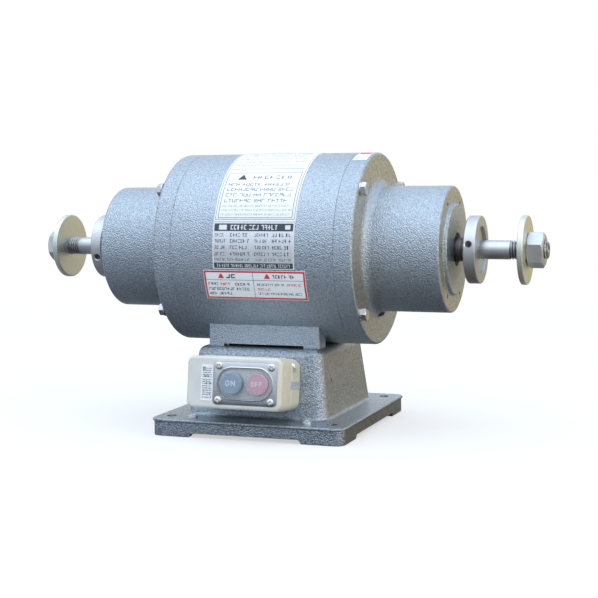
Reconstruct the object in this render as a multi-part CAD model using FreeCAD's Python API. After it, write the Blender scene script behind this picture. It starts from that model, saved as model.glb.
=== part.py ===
import FreeCAD, Part
import os, math
from FreeCAD import Vector as V

# Double-ended bench grinder: cast base with a hollow pedestal, a three-phase
# motor with two long necks, wheel flanges and nuts on both shaft ends, and a
# push-button switch on the front of the pedestal.
# Frame: origin at the centre of the bench-bolt pattern on the base underside,
# +Z up, +X along the shaft, the switch is on the -Y side.

os.makedirs("parts", exist_ok=True)

# ---------------------------------------------------------------- dimensions (mm)
AXIS_H = 155.3            # shaft axis above the bench
MX = 3.0                  # motor centre along X, measured from the base centre
# base plate
BASE_LX, BASE_LY, BASE_H = 172.8, 185.5, 14.8
BASE_CX = 1.0             # the plate sits a little to the right of the bolt pattern
BASE_LIP_H, BASE_LIP = 2.4, 1.2     # lip round the top of the skirt
BASE_CORNER_R = 9.0
BASE_WALL = 7.0           # skirt wall
BASE_TOP_T = 7.0          # plate thickness over the hollow
FOOT_RISE = 3.5           # skirt is this much off the bench between the feet
BOLT_X, BOLT_Y, BOLT_R = 72.0, 76.0, 4.5
COVER_SX, COVER_SY = 51.0, 79.0     # bottom cover screws
# pedestal (tapered, hollow)
PED_TOP_Z = 73.2
PED_AT, PED_AB = 56.4, 63.0         # half width in X at top / at z = BASE_H
PED_BT, PED_BB = 57.5, 65.5         # half depth in Y at top / at z = BASE_H
PED_CORNER_R, PED_TOP_R = 9.0, 8.0
PED_WALL, PED_ROOF = 5.5, 7.2
# motor
SHELL_R, FRAME_BORE_R = 82.07, 71.0
SEAM_X, FLANGE_X = 72.0, 88.1
NECK_R, NECK_X = 53.5, 152.4
BOSS_R, BOSS_X = 38.8, 155.4
FOOT_X, FOOT_Y0, FOOT_Y1 = 50.0, 35.4, 52.3
FOOT_BOLT_X, FOOT_BOLT_Y = 38.5, 41.0
CORE_L, ROTOR_R, STATOR_BORE_R = 62.0, 43.0, 43.4
BR_BOLT_R, BR_BOLT_DEG = 76.0, 42.5
GUARD_PCD_R, GUARD_HOLE_R, GUARD_DEPTH = 44.0, 2.1, 9.0
# shaft
ARBOR_R, JOURNAL_R, CORE_SEAT_R, BODY_R = 7.94, 10.0, 13.0, 12.5
SHOULDER_X, THREAD_X, SHAFT_END_X = 166.05, 202.5, 232.0
THREAD_PITCH = 2.31
WHEEL_SEAT_X = 176.3      # the wheel seat starts at the inner flange's face
# wheel flanges and nuts
IN_FL_R, IN_FL_T = 28.47, 10.2
OUT_FL_R, OUT_FL_X0, OUT_FL_X1 = 28.74, 210.4, 215.2
NUT_AF, NUT_X1 = 26.6, 229.1
# ball bearing 20 x 47 x 14
BRG_X0, BRG_W, BRG_R, BRG_PITCH_R, BALL_R, N_BALL = 131.0, 14.0, 23.5, 16.75, 3.97, 8
# switch box, on the sloping front of the pedestal
SW_W, SW_H, SW_D = 83.4, 43.0, 44.5
SW_Z = 44.05              # height of the box centre at the pedestal face
SW_CX = -2.7
SW_SEAM = 22.5            # rear case depth
SW_PX = 10.1              # centre of the push-button plate across the box
SW_PY = -0.3
BTN_PITCH, BTN_R, BTN_TRAVEL = 22.1, 8.9, 3.5
ROCK_Z = 24.5
TILT = math.atan((PED_BB - PED_BT) / (PED_TOP_Z - BASE_H))

# ---------------------------------------------------------------- helpers
def save(name, shape):
    shape.exportStep("parts/%s.step" % name)
    sol = shape.Solids
    print("%-26s solids %2d  vol %12.1f  valid %s" % (name, len(sol), shape.Volume, shape.isValid()))

def rounded(pts):
    """Closed 2D outline [(u, v[, radius])] -> list of ('L', p, q) / ('A', p, m, q)."""
    n = len(pts)
    segs, ends = [], []
    for i in range(n):
        p = pts[i]
        r = p[2] if len(p) > 2 else 0.0
        P = (p[0], p[1])
        if r <= 0:
            ends.append((P, P, None))
            continue
        A, B = pts[i - 1], pts[(i + 1) % n]
        ua = (A[0] - P[0], A[1] - P[1]); la = math.hypot(*ua); ua = (ua[0] / la, ua[1] / la)
        ub = (B[0] - P[0], B[1] - P[1]); lb = math.hypot(*ub); ub = (ub[0] / lb, ub[1] / lb)
        c = ua[0] * ub[0] + ua[1] * ub[1]
        half = math.acos(max(-1, min(1, c))) / 2
        d = r / math.tan(half)
        p1 = (P[0] + ua[0] * d, P[1] + ua[1] * d)
        p2 = (P[0] + ub[0] * d, P[1] + ub[1] * d)
        bis = (ua[0] + ub[0], ua[1] + ub[1]); lb2 = math.hypot(*bis)
        bis = (bis[0] / lb2, bis[1] / lb2)
        dc = r / math.sin(half)
        mid = (P[0] + bis[0] * (dc - r), P[1] + bis[1] * (dc - r))
        ends.append((p1, p2, mid))
    for i in range(n):
        a, b, m = ends[i]
        if m is not None:
            segs.append(("A", a, m, b))
        c = ends[(i + 1) % n][0]
        if math.hypot(c[0] - b[0], c[1] - b[1]) > 1e-6:
            segs.append(("L", b, c))
    return segs

def face(pts, f):
    ed = []
    for s in rounded(pts):
        if s[0] == "L":
            ed.append(Part.LineSegment(f(*s[1]), f(*s[2])).toShape())
        else:
            ed.append(Part.Arc(f(*s[1]), f(*s[2]), f(*s[3])).toShape())
    return Part.Face(Part.Wire(ed))

def rev_x(pts, sign=1.0):
    """Revolve an (x, r) outline about the shaft axis; sign=-1 mirrors it to the left."""
    f = face(pts, lambda x, r: V(MX + sign * x, 0, AXIS_H + r))
    s = f.revolve(V(0, 0, AXIS_H), V(1, 0, 0), 360)
    if s.Volume < 0:
        s.reverse()
    return s

def prism_z(pts, z0, z1):
    return face(pts, lambda x, y: V(x, y, z0)).extrude(V(0, 0, z1 - z0))

def box(x0, x1, y0, y1, z0, z1):
    return Part.makeBox(x1 - x0, y1 - y0, z1 - z0, V(x0, y0, z0))

def cyl(r, p, d, l):
    return Part.makeCylinder(r, l, V(*p), V(*d))

def rrect(hx, hy, r, cx=0.0, cy=0.0):
    return [(cx - hx, cy - hy, r), (cx + hx, cy - hy, r), (cx + hx, cy + hy, r), (cx - hx, cy + hy, r)]

def poly_solid(vs, fs):
    faces = [Part.Face(Part.makePolygon([V(*vs[i]) for i in f] + [V(*vs[f[0]])])) for f in fs]
    s = Part.Solid(Part.Shell(faces))
    if s.Volume < 0:
        s.reverse()
    return s

def frustum(a0, b0, z0, a1, b1, z1):
    vs = [(-a0, -b0, z0), (a0, -b0, z0), (a0, b0, z0), (-a0, b0, z0),
          (-a1, -b1, z1), (a1, -b1, z1), (a1, b1, z1), (-a1, b1, z1)]
    fs = [(0, 3, 2, 1), (4, 5, 6, 7), (0, 1, 5, 4), (1, 2, 6, 5), (2, 3, 7, 6), (3, 0, 4, 7)]
    return poly_solid(vs, fs)

def ped(z):
    k = (PED_TOP_Z - z) / (PED_TOP_Z - BASE_H)
    return PED_AT + (PED_AB - PED_AT) * k, PED_BT + (PED_BB - PED_BT) * k

def hexagon(af, rot=0.0):
    R = af / math.sqrt(3)
    return [(R * math.cos(math.radians(rot + 60 * i)), R * math.sin(math.radians(rot + 60 * i))) for i in range(6)]

def hex_prism(af, p, d, l, rot=0.0, chamfer=True):
    """Hexagonal prism from p along d with its far corners turned down."""
    s = face([(x, y) for x, y in hexagon(af, rot)], lambda x, y: V(x, y, 0)).extrude(V(0, 0, l))
    if chamfer:
        R = af / math.sqrt(3)
        t = (R - af / 2 * 0.96)
        prof = [(0, -1), (R + 1, -1), (R + 1, l - t * 0.577 - 1 * 0.577), (af / 2 * 0.95, l), (0, l)]
        tool = face(prof, lambda x, z: V(x, 0, z)).revolve(V(0, 0, 0), V(0, 0, 1), 360)
        s = s.common(tool)
    return place(s, p, d)

def place(s, p, d):
    s = s.copy()
    s.Placement = FreeCAD.Placement(V(*p), FreeCAD.Rotation(V(0, 0, 1), V(*d)))
    return s

def fillet(shape, r, pick, what):
    ed = [e for e in shape.Edges if pick(e)]
    try:
        s = shape.makeFillet(r, ed)
        if s.isValid() and s.Volume > 0 and len(s.Solids) == len(shape.Solids):
            return s
        print("fillet result rejected:", what)
    except Exception as ex:
        print("fillet skipped:", what, ex)
    return shape

def on_z(z, tol=1e-3):
    return lambda e: abs(e.BoundBox.ZMin - z) < tol and abs(e.BoundBox.ZMax - z) < tol

def ang_pt(r, deg, x):
    """Point at radius r and angle deg above the front (-Y) direction, at motor x."""
    a = math.radians(deg)
    return (MX + x, -r * math.cos(a), AXIS_H + r * math.sin(a))

def ang_dir(deg):
    a = math.radians(deg)
    return (0.0, -math.cos(a), math.sin(a))

def comp(shapes):
    return Part.Compound(shapes)

# ================================================================ BASE
lip = prism_z(rrect(BASE_LX / 2, BASE_LY / 2, BASE_CORNER_R, BASE_CX), BASE_H - BASE_LIP_H, BASE_H)
lip = fillet(lip, 1.3, on_z(BASE_H), "base top edge")
lip = fillet(lip, 0.7, on_z(BASE_H - BASE_LIP_H), "base lip underside")
wx, wy = BASE_LX / 2 - BASE_LIP, BASE_LY / 2 - BASE_LIP
plate = prism_z(rrect(wx, wy, BASE_CORNER_R - 1.0, BASE_CX), 0, BASE_H - BASE_LIP_H / 2)
plate = fillet(plate, 0.8, on_z(0), "base bottom edge")
plate = plate.fuse(lip).removeSplitter()
a10, b10 = ped(8.0)
pedestal = frustum(a10, b10, 8.0, PED_AT, PED_BT, PED_TOP_Z)
pedestal = fillet(pedestal, PED_CORNER_R,
                  lambda e: e.BoundBox.ZLength > 20, "pedestal corners")
pedestal = fillet(pedestal, PED_TOP_R, on_z(PED_TOP_Z), "pedestal top edge")
base = plate.fuse(pedestal).removeSplitter()
base = fillet(base, 3.0,
              lambda e: on_z(BASE_H, 1e-2)(e) and e.BoundBox.XLength + e.BoundBox.YLength > 5
              and abs(e.BoundBox.Center.x) < 66 and abs(e.BoundBox.Center.y) < 68, "pedestal root")
# hollow under the plate (feet stay solid at the corners) and inside the pedestal
hx0, hx1, hy = BASE_CX - (wx - BASE_WALL), BASE_CX + (wx - BASE_WALL), wy - BASE_WALL
pocket = prism_z([(hx0, -58, 3), (-57, -58), (-57, -hy, 3), (57, -hy, 3), (57, -58), (hx1, -58, 3),
                  (hx1, 58, 3), (57, 58), (57, hy, 3), (-57, hy, 3), (-57, 58), (hx0, 58, 3)],
                 -1, BASE_H - BASE_TOP_T)
for sx in (-1, 1):
    for sy in (-1, 1):
        pocket = pocket.cut(cyl(6.0, (sx * COVER_SX, sy * COVER_SY, 5.3), (0, 0, 1), 10))
z_roof = PED_TOP_Z - PED_ROOF
a7, b7 = ped(BASE_H - BASE_TOP_T - 0.5)
aR, bR = ped(z_roof)
cavity = frustum(a7 - PED_WALL, b7 - PED_WALL, BASE_H - BASE_TOP_T - 0.5,
                 aR - PED_WALL, bR - PED_WALL, z_roof)
base = base.cut(pocket).cut(cavity)
# the skirt clears the bench between the corner feet
base = base.cut(face([(-50.5, -1), (50.5, -1), (50.5 + 0.0, 0), (47.8, FOOT_RISE), (-47.8, FOOT_RISE), (-50.5, 0)],
                     lambda x, z: V(x, -120, z)).extrude(V(0, 240, 0)))
base = base.cut(face([(-56.5, -1), (56.5, -1), (56.5, 0), (54.0, FOOT_RISE), (-54.0, FOOT_RISE), (-56.5, 0)],
                     lambda y, z: V(-120, y, z)).extrude(V(240, 0, 0)))
for sx in (-1, 1):
    for sy in (-1, 1):
        base = base.cut(cyl(BOLT_R, (sx * BOLT_X, sy * BOLT_Y, -1), (0, 0, 1), 30))
        base = base.cut(cyl(2.1, (sx * COVER_SX, sy * COVER_SY, -1), (0, 0, 1), 30))
        base = base.cut(cyl(4.4, (MX + sx * FOOT_BOLT_X, sy * FOOT_BOLT_Y, z_roof - 1), (0, 0, 1), 20))
base = base.cut(cyl(8.0, (MX, 0, z_roof - 1), (0, 0, 1), 20))          # lead hole to the motor
# local frame on the sloping front face of the pedestal
st, ct = math.sin(TILT), math.cos(TILT)
sw_y = -(PED_BT + (PED_BB - PED_BT) * (PED_TOP_Z - SW_Z) / (PED_TOP_Z - BASE_H))
SWM = FreeCAD.Matrix(1, 0, 0, SW_CX, 0, st, -ct, sw_y, 0, ct, st, SW_Z, 0, 0, 0, 1)

def sw(shape):
    s = shape.copy()
    s.Placement = FreeCAD.Placement(SWM).multiply(shape.Placement)
    return s

def lbox(x0, x1, y0, y1, z0, z1):
    return box(x0, x1, y0, y1, z0, z1)

SW_SCREWS = [(36.9, 14.2), (-36.9, -14.2)]
base = base.cut(sw(cyl(7.0, (-18, 0, -15), (0, 0, 1), 25)))             # lead hole to the switch
for x, y in SW_SCREWS:
    base = base.cut(sw(cyl(1.7, (x, y, -8.5), (0, 0, 1), 12)))
base = base.cut(cyl(1.7, (PED_AB - 12, -40.0, 45.3), (1, 0, 0), 20))     # earth screw hole, right side
base = base.cut(cyl(2.2, (ped(45.3)[0] - 1.2, -40.0, 45.3), (1, 0, 0), 6))
base = base.cut(cyl(7.0, (-20, PED_BT - 12, 38.0), (0, 1, 0), 30))       # supply lead inlet, rear
save("base_casting", base)

bc = prism_z([(-54, -84.3, 4), (54, -84.3, 4), (54, 84.3, 4), (-54, 84.3, 4)], 4.1, 5.3)
for sx in (-1, 1):
    for sy in (-1, 1):
        bc = bc.cut(cyl(2.3, (sx * COVER_SX, sy * COVER_SY, 3), (0, 0, 1), 5))
for i in range(5):
    bc = bc.cut(prism_z(rrect(16, 1.6, 1.55, 0, -24 + 12 * i), 3, 6))
save("bottom_cover", bc)

def pan_head(R, h, shank_r, shank_l, p, d, slot="cross"):
    hd = face([(0, 0), (R, 0), (R, h * 0.95, h * 0.55), (0, h)], lambda x, z: V(x, 0, z)).revolve(V(0, 0, 0), V(0, 0, 1), 360)
    sh = Part.makeCylinder(shank_r, shank_l + 0.5, V(0, 0, -shank_l))
    s = hd.fuse(sh).removeSplitter()
    if slot == "cross":
        c = box(-R * 0.55, R * 0.55, -R * 0.11, R * 0.11, h * 0.45, h + 1).fuse(
            box(-R * 0.11, R * 0.11, -R * 0.55, R * 0.55, h * 0.45, h + 1))
        s = s.cut(c)
    elif slot == "slot":
        s = s.cut(box(-R - 1, R + 1, -R * 0.12, R * 0.12, h * 0.5, h + 1))
    return place(s, p, d)

cs, cn = [], []
for sx in (-1, 1):
    for sy in (-1, 1):
        cs.append(pan_head(4.0, 3.0, 1.95, 13.6, (sx * COVER_SX, sy * COVER_SY, BASE_H), (0, 0, 1)))
        n = hex_prism(7.0, (sx * COVER_SX, sy * COVER_SY, 4.1), (0, 0, -1), 2.9)
        cn.append(n.cut(cyl(2.0, (sx * COVER_SX, sy * COVER_SY, 0), (0, 0, 1), 6)))
save("bottom_cover_screws", comp(cs))
save("bottom_cover_nuts", comp(cn))

# motor hold-down bolts, put in from inside the pedestal
mb, mw = [], []
for sx in (-1, 1):
    for sy in (-1, 1):
        x, y = MX + sx * FOOT_BOLT_X, sy * FOOT_BOLT_Y
        h = hex_prism(13.0, (x, y, z_roof - 1.6), (0, 0, -1), 5.3, 30)
        mb.append(h.fuse(cyl(3.95, (x, y, z_roof - 2.0), (0, 0, 1), 21.5)).removeSplitter())
        mw.append(cyl(7.6, (x, y, z_roof - 1.6), (0, 0, 1), 1.6).cut(cyl(4.3, (x, y, z_roof - 3), (0, 0, 1), 5)))
save("motor_bolts", comp(mb))
save("motor_bolt_washers", comp(mw))

# supply lead inlet ring at the rear, and the ring where the switch leads pass
yr = PED_BT + (PED_BB - PED_BT) * (PED_TOP_Z - 38.0) / (PED_TOP_Z - BASE_H)
gin = face([(4.5, 2.6), (9.5, 2.6, 1.2), (9.5, 0.35), (6.9, 0.35), (6.9, -3.0), (4.5, -3.0)],
           lambda r, z: V(r, 0, z)).revolve(V(0, 0, 0), V(0, 0, 1), 360)
gin.Placement = FreeCAD.Placement(V(-20, yr, 38.0), FreeCAD.Rotation(V(0, 0, 1), V(0, math.cos(TILT), math.sin(TILT))))
save("lead_inlet_grommet", gin.cut(base))
save("earth_screw", pan_head(3.0, 2.0, 1.6, 5.0, (ped(45.3)[0] - PED_WALL - 0.9, -40.0, 45.3), (-1, 0, 0)))

# ================================================================ MOTOR FRAME
fr = cyl(SHELL_R, (MX - SEAM_X, 0, AXIS_H), (1, 0, 0), 2 * SEAM_X)
for sy in (-1, 1):
    y0, y1 = sorted((sy * FOOT_Y0, sy * FOOT_Y1))
    foot = box(MX - FOOT_X, MX + FOOT_X, y0, y1, PED_TOP_Z, 108)
    foot = fillet(foot, 1.5, lambda e: e.BoundBox.ZLength > 20 and abs(e.BoundBox.Center.y) > 45, "foot corners")
    foot = foot.cut(box(MX - 36.2, MX + 36.2, -90, 90, PED_TOP_Z - 1, PED_TOP_Z + 2.3))
    fr = fr.fuse(foot)
web = box(MX - 8, MX + 8, -FOOT_Y0 - 1, FOOT_Y0 + 1, PED_TOP_Z + 2.3, 90)
fr = fr.fuse(web).cut(cyl(FRAME_BORE_R, (MX - 100, 0, AXIS_H), (1, 0, 0), 200)).removeSplitter()
fr = fr.cut(cyl(6.0, (MX, 0, 60), (0, 0, 1), 40))
for sx in (-1, 1):
    for sy in (-1, 1):
        fr = fr.cut(cyl(4.0, (MX + sx * FOOT_BOLT_X, sy * FOOT_BOLT_Y, 70), (0, 0, 1), 21.0))
for k in (BR_BOLT_DEG, -BR_BOLT_DEG, 180 - BR_BOLT_DEG, BR_BOLT_DEG - 180):
    for s in (-1, 1):
        p = ang_pt(BR_BOLT_R, k, s * (SEAM_X - 14))
        fr = fr.cut(cyl(2.55, p, (s, 0, 0), 20))
fr = fillet(fr, 0.6, lambda e: e.BoundBox.XLength < 0.01 and abs(e.BoundBox.YLength - 2 * SHELL_R) < 0.5, "frame ends")
save("stator_frame", fr)

# laminated stator with 24 slots, and its winding
core = rev_x([(-CORE_L / 2, STATOR_BORE_R), (CORE_L / 2, STATOR_BORE_R), (CORE_L / 2, FRAME_BORE_R - 0.05), (-CORE_L / 2, FRAME_BORE_R - 0.05)])
slots, bars = [], []
for i in range(24):
    a = 360.0 / 24 * i
    def ring(pts, x0, x1):
        f = face(pts, lambda u, v: V(MX + x0, u, AXIS_H + v)).extrude(V(x1 - x0, 0, 0))
        f.rotate(V(MX, 0, AXIS_H), V(1, 0, 0), a)
        return f
    slots.append(ring([(-1.3, 42), (1.3, 42), (1.3, 45.2), (2.9, 46.6), (4.4, 58.5, 1.2), (-4.4, 58.5, 1.2), (-2.9, 46.6), (-1.3, 45.2)], -CORE_L, CORE_L))
    bars.append(ring([(-2.6, 47.0), (2.6, 47.0), (4.0, 58.0, 1.0), (-4.0, 58.0, 1.0)], -CORE_L / 2 - 4, CORE_L / 2 + 4))
core = core.cut(slots[0].multiFuse(slots[1:]))
save("stator_core", core)
ends = []
for s in (-1, 1):
    ends.append(rev_x([(CORE_L / 2 + 1.2, 46.2, 1.5), (CORE_L / 2 + 20, 45.0, 5), (CORE_L / 2 + 20, 60.5, 5), (CORE_L / 2 + 1.2, 61.0, 1.5)], s))
wind = ends[0].multiFuse(ends[1:] + bars).removeSplitter()
save("stator_windings", wind)

# ================================================================ END BRACKETS
def bracket(s):
    b = rev_x([(68.0, 66.5), (68.0, FRAME_BORE_R - 0.05), (SEAM_X + 0.02, FRAME_BORE_R - 0.05),
               (SEAM_X + 0.02, SHELL_R, 0.5), (FLANGE_X, SHELL_R, 2.2), (FLANGE_X, NECK_R, 7.5),
               (NECK_X, NECK_R, 1.6), (NECK_X, BOSS_R, 0.8), (BOSS_X, BOSS_R - 0.4, 1.2), (BOSS_X, 14.0, 0.5),
               (148.0, 14.0), (148.0, 20.0), (BRG_X0 + BRG_W, 20.0), (BRG_X0 + BRG_W, BRG_R + 0.02),
               (130.9, BRG_R + 0.02), (130.9, BRG_R + 1.2), (129.3, BRG_R + 1.2), (129.3, BRG_R + 0.02),
               (126.5, BRG_R + 0.02), (126.5, 31.5, 2), (142.0, 33.0, 4), (142.0, 46.5, 5),
               (80.0, 46.5, 4), (80.0, 66.5, 3)], s)
    tools = []
    for k in (BR_BOLT_DEG, -BR_BOLT_DEG, 180 - BR_BOLT_DEG, BR_BOLT_DEG - 180):
        tools.append(cyl(3.2, ang_pt(BR_BOLT_R, k, s * 66), (s, 0, 0), 30))
    for k in range(6):
        tools.append(cyl(GUARD_HOLE_R, ang_pt(GUARD_PCD_R, 60 * k, s * (NECK_X - GUARD_DEPTH)), (s, 0, 0), 20))
    # drain notch through the flange just under the neck
    tools.append(box(*sorted((MX + s * 78, MX + s * 92)), -9.5, 9.5, AXIS_H - 58.0, AXIS_H - 52.6))
    return b.cut(tools[0].multiFuse(tools[1:]))

for s, side in ((-1, "left"), (1, "right")):
    save("end_bracket_" + side, bracket(s))
    bolts, washers = [], []
    for k in (BR_BOLT_DEG, -BR_BOLT_DEG, 180 - BR_BOLT_DEG, BR_BOLT_DEG - 180):
        p = ang_pt(BR_BOLT_R, k, s * (FLANGE_X + 1.2))
        h = hex_prism(10.0, p, (s, 0, 0), 4.2, 10)
        q = ang_pt(BR_BOLT_R, k, s * 60.0)
        bolts.append(h.fuse(cyl(2.5, q, (s, 0, 0), FLANGE_X + 2.0 - 60.0)).removeSplitter())
        w0 = ang_pt(BR_BOLT_R, k, s * FLANGE_X)
        washers.append(cyl(5.8, w0, (s, 0, 0), 1.2).cut(cyl(3.1, ang_pt(BR_BOLT_R, k, s * (FLANGE_X - 1)), (s, 0, 0), 4)))
    save("bracket_bolts_" + side, comp(bolts))
    save("bracket_washers_" + side, comp(washers))

    # ball bearing
    x0, x1, xm = BRG_X0, BRG_X0 + BRG_W - 0.05, BRG_X0 + BRG_W / 2
    groove_r = BALL_R + 0.09
    def torus(rr):
        t = Part.makeTorus(BRG_PITCH_R, rr)
        t.Placement = FreeCAD.Placement(V(MX + s * xm, 0, AXIS_H), FreeCAD.Rotation(V(0, 0, 1), V(1, 0, 0)))
        return t
    outer = rev_x([(x0, 20.0), (x1, 20.0), (x1, BRG_R - 0.02, 0.8), (x0, BRG_R - 0.02, 0.8)], s).cut(torus(groove_r))
    inner = rev_x([(x0 + 0.05, JOURNAL_R + 0.02, 0.8), (x1, JOURNAL_R + 0.02, 0.8), (x1, 14.0), (x0 + 0.05, 14.0)], s).cut(torus(groove_r))
    balls, pockets = [], []
    for i in range(N_BALL):
        a = 2 * math.pi * i / N_BALL
        c = V(MX + s * xm, BRG_PITCH_R * math.cos(a), AXIS_H + BRG_PITCH_R * math.sin(a))
        balls.append(Part.makeSphere(BALL_R, c))
        pockets.append(Part.makeSphere(BALL_R + 0.12, c))
    cage = rev_x([(xm - 4.9, 15.3), (xm + 4.9, 15.3), (xm + 4.9, 18.2), (xm - 4.9, 18.2)], s)
    cage = cage.cut(pockets[0].multiFuse(pockets[1:]))
    save("bearing_outer_ring_" + side, outer)
    save("bearing_inner_ring_" + side, inner)
    save("bearing_balls_" + side, comp(balls))
    save("bearing_cage_" + side, cage)
    # snap ring that keeps the bearing in its seat
    snap = rev_x([(129.45, 21.6), (130.75, 21.6), (130.75, BRG_R + 1.0), (129.45, BRG_R + 1.0)], s)
    snap = snap.cut(box(MX + s * 130 - 5, MX + s * 130 + 5, -3, 3, AXIS_H + 15, AXIS_H + 30))
    save("snap_ring_" + side, snap)
    # dust seal behind the boss face
    seal = rev_x([(148.1, JOURNAL_R + 0.3), (154.6, JOURNAL_R + 0.3, 0.4), (154.6, 13.97), (148.1, 13.97)], s)
    save("dust_seal_" + side, seal)

# ================================================================ ROTOR
def thread_profile():
    pts = [(THREAD_X, ARBOR_R)]
    x = THREAD_X + 0.6
    while x < SHAFT_END_X - 3.4:
        pts += [(x, 7.9), (x + THREAD_PITCH * 0.42, 6.75), (x + THREAD_PITCH * 0.58, 6.75), (x + THREAD_PITCH, 7.9)]
        x += THREAD_PITCH
    pts += [(SHAFT_END_X - 1.6, 7.9), (SHAFT_END_X, 6.3)]
    return pts
half = [(0, CORE_SEAT_R), (CORE_L / 2 + 8.5, CORE_SEAT_R), (CORE_L / 2 + 8.5, BODY_R), (BRG_X0, BODY_R),
        (BRG_X0, JOURNAL_R), (160.2, JOURNAL_R), (160.4, JOURNAL_R - 0.35), (161.2, JOURNAL_R - 0.35), (161.4, JOURNAL_R),
        (SHOULDER_X, JOURNAL_R), (SHOULDER_X, ARBOR_R),
        (WHEEL_SEAT_X - 1.9, ARBOR_R), (WHEEL_SEAT_X - 1.7, ARBOR_R - 0.3), (WHEEL_SEAT_X - 0.2, ARBOR_R - 0.3), (WHEEL_SEAT_X, ARBOR_R)]
right = half + thread_profile()
clean = []
for p in right:
    if not clean or math.hypot(p[0] - clean[-1][0], p[1] - clean[-1][1]) > 1e-6:
        clean.append(p)
left = [(-x, r) for x, r in reversed(clean)][:-1]
pts = [(-SHAFT_END_X, 0)] + left + clean + [(SHAFT_END_X, 0)]
shaft = rev_x(pts)
for s in (-1, 1):
    c = Part.makeCone(3.4, 0.6, 4.2, V(MX + s * SHAFT_END_X, 0, AXIS_H), V(-s, 0, 0))
    shaft = shaft.cut(c)
save("shaft", shaft)

core_r = rev_x([(-CORE_L / 2, CORE_SEAT_R + 0.02), (CORE_L / 2, CORE_SEAT_R + 0.02), (CORE_L / 2, ROTOR_R), (-CORE_L / 2, ROTOR_R)])
holes, rods = [], []
for i in range(20):
    a = 2 * math.pi * i / 20
    y, z = 38.6 * math.cos(a), AXIS_H + 38.6 * math.sin(a)
    holes.append(cyl(2.3, (MX - 50, y, z), (1, 0, 0), 100))
    rods.append(cyl(2.25, (MX - CORE_L / 2 - 1, y, z), (1, 0, 0), CORE_L + 2))
save("rotor_core", core_r.cut(holes[0].multiFuse(holes[1:])))
cage_parts = []
for s in (-1, 1):
    cage_parts.append(rev_x([(CORE_L / 2 + 0.02, 30), (CORE_L / 2 + 9, 30.5, 1.5), (CORE_L / 2 + 9, 41.5, 1.5), (CORE_L / 2 + 0.02, 42.3)], s))
    for i in range(8):
        a = 45.0 * i + 10
        fin = box(-1.2, 1.2, 32, 40.5, 0, 9)
        fin.Placement = FreeCAD.Placement(V(MX + s * (CORE_L / 2 + 8), 0, AXIS_H), FreeCAD.Rotation(V(0, 0, 1), V(s, 0, 0)))
        fin.rotate(V(MX, 0, AXIS_H), V(1, 0, 0), a)
        cage_parts.append(fin)
save("rotor_cage", cage_parts[0].multiFuse(cage_parts[1:] + rods).removeSplitter())

# ================================================================ WHEEL FLANGES, NUTS
SET_DEG = {1: 11.5, -1: -18.4}
NUT_ROT = {1: 20.0, -1: 38.0}
for s, side in ((-1, "left"), (1, "right")):
    x0, x1 = SHOULDER_X + 0.02, SHOULDER_X + IN_FL_T
    fl = rev_x([(x0, ARBOR_R + 0.03), (x0, IN_FL_R, 1.2), (x1, IN_FL_R, 0.8), (x1, 19.6, 0.4), (x1 - 2.6, 19.6), (x1 - 2.6, ARBOR_R + 0.03)], s)
    k = SET_DEG[s]
    xm = x0 + IN_FL_T / 2 - 0.6
    fl = fl.cut(cyl(2.6, ang_pt(4.0, k, s * xm), ang_dir(k), 30))
    fl = fl.cut(place(Part.makeCone(2.6, 3.4, 0.8), ang_pt(IN_FL_R - 0.8, k, s * xm), ang_dir(k)))
    save("inner_flange_" + side, fl)
    ss = cyl(2.55, ang_pt(ARBOR_R + 0.1, k, s * xm), ang_dir(k), 16.0)
    ss = ss.cut(place(face(hexagon(3.0), lambda x, y: V(x, y, 0)).extrude(V(0, 0, 4)), ang_pt(ARBOR_R + 0.1 + 13.0, k, s * xm), ang_dir(k)))
    save("set_screw_" + side, ss)
    of = rev_x([(OUT_FL_X0, ARBOR_R + 0.06), (OUT_FL_X0, OUT_FL_R, 0.9), (OUT_FL_X1, OUT_FL_R, 0.9), (OUT_FL_X1, ARBOR_R + 0.06, 0.3)], s)
    save("outer_flange_" + side, of)
    nl = NUT_X1 - OUT_FL_X1 - 0.55
    R = NUT_AF / math.sqrt(3)
    pts = [(R * math.cos(math.radians(NUT_ROT[s] + 60 * i)), R * math.sin(math.radians(NUT_ROT[s] + 60 * i))) for i in range(6)]
    hexa = face(pts, lambda u, v: V(MX + s * (OUT_FL_X1 + 0.55), -u, AXIS_H + v)).extrude(V(s * nl, 0, 0))
    tool = rev_x([(OUT_FL_X1 - 1, 0), (OUT_FL_X1 - 1, R + 1), (NUT_X1 - (R + 1 - 12.5) * 0.577, R + 1), (NUT_X1, 12.5), (NUT_X1, 0)], s)
    nut = hexa.common(tool).fuse(rev_x([(OUT_FL_X1 + 0.03, 0), (OUT_FL_X1 + 0.03, 12.4), (OUT_FL_X1 + 1.0, 12.4), (OUT_FL_X1 + 1.0, 0)], s))
    nut = nut.cut(rev_x([(200, 0), (200, ARBOR_R + 0.02), (240, ARBOR_R + 0.02), (240, 0)], s))
    nut = nut.cut(rev_x([(NUT_X1 - 1.2, 0), (NUT_X1 - 1.2, ARBOR_R), (NUT_X1 + 0.1, ARBOR_R + 1.3), (NUT_X1 + 0.1, 0)], s)).removeSplitter()
    save("wheel_nut_" + side, nut)

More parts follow.
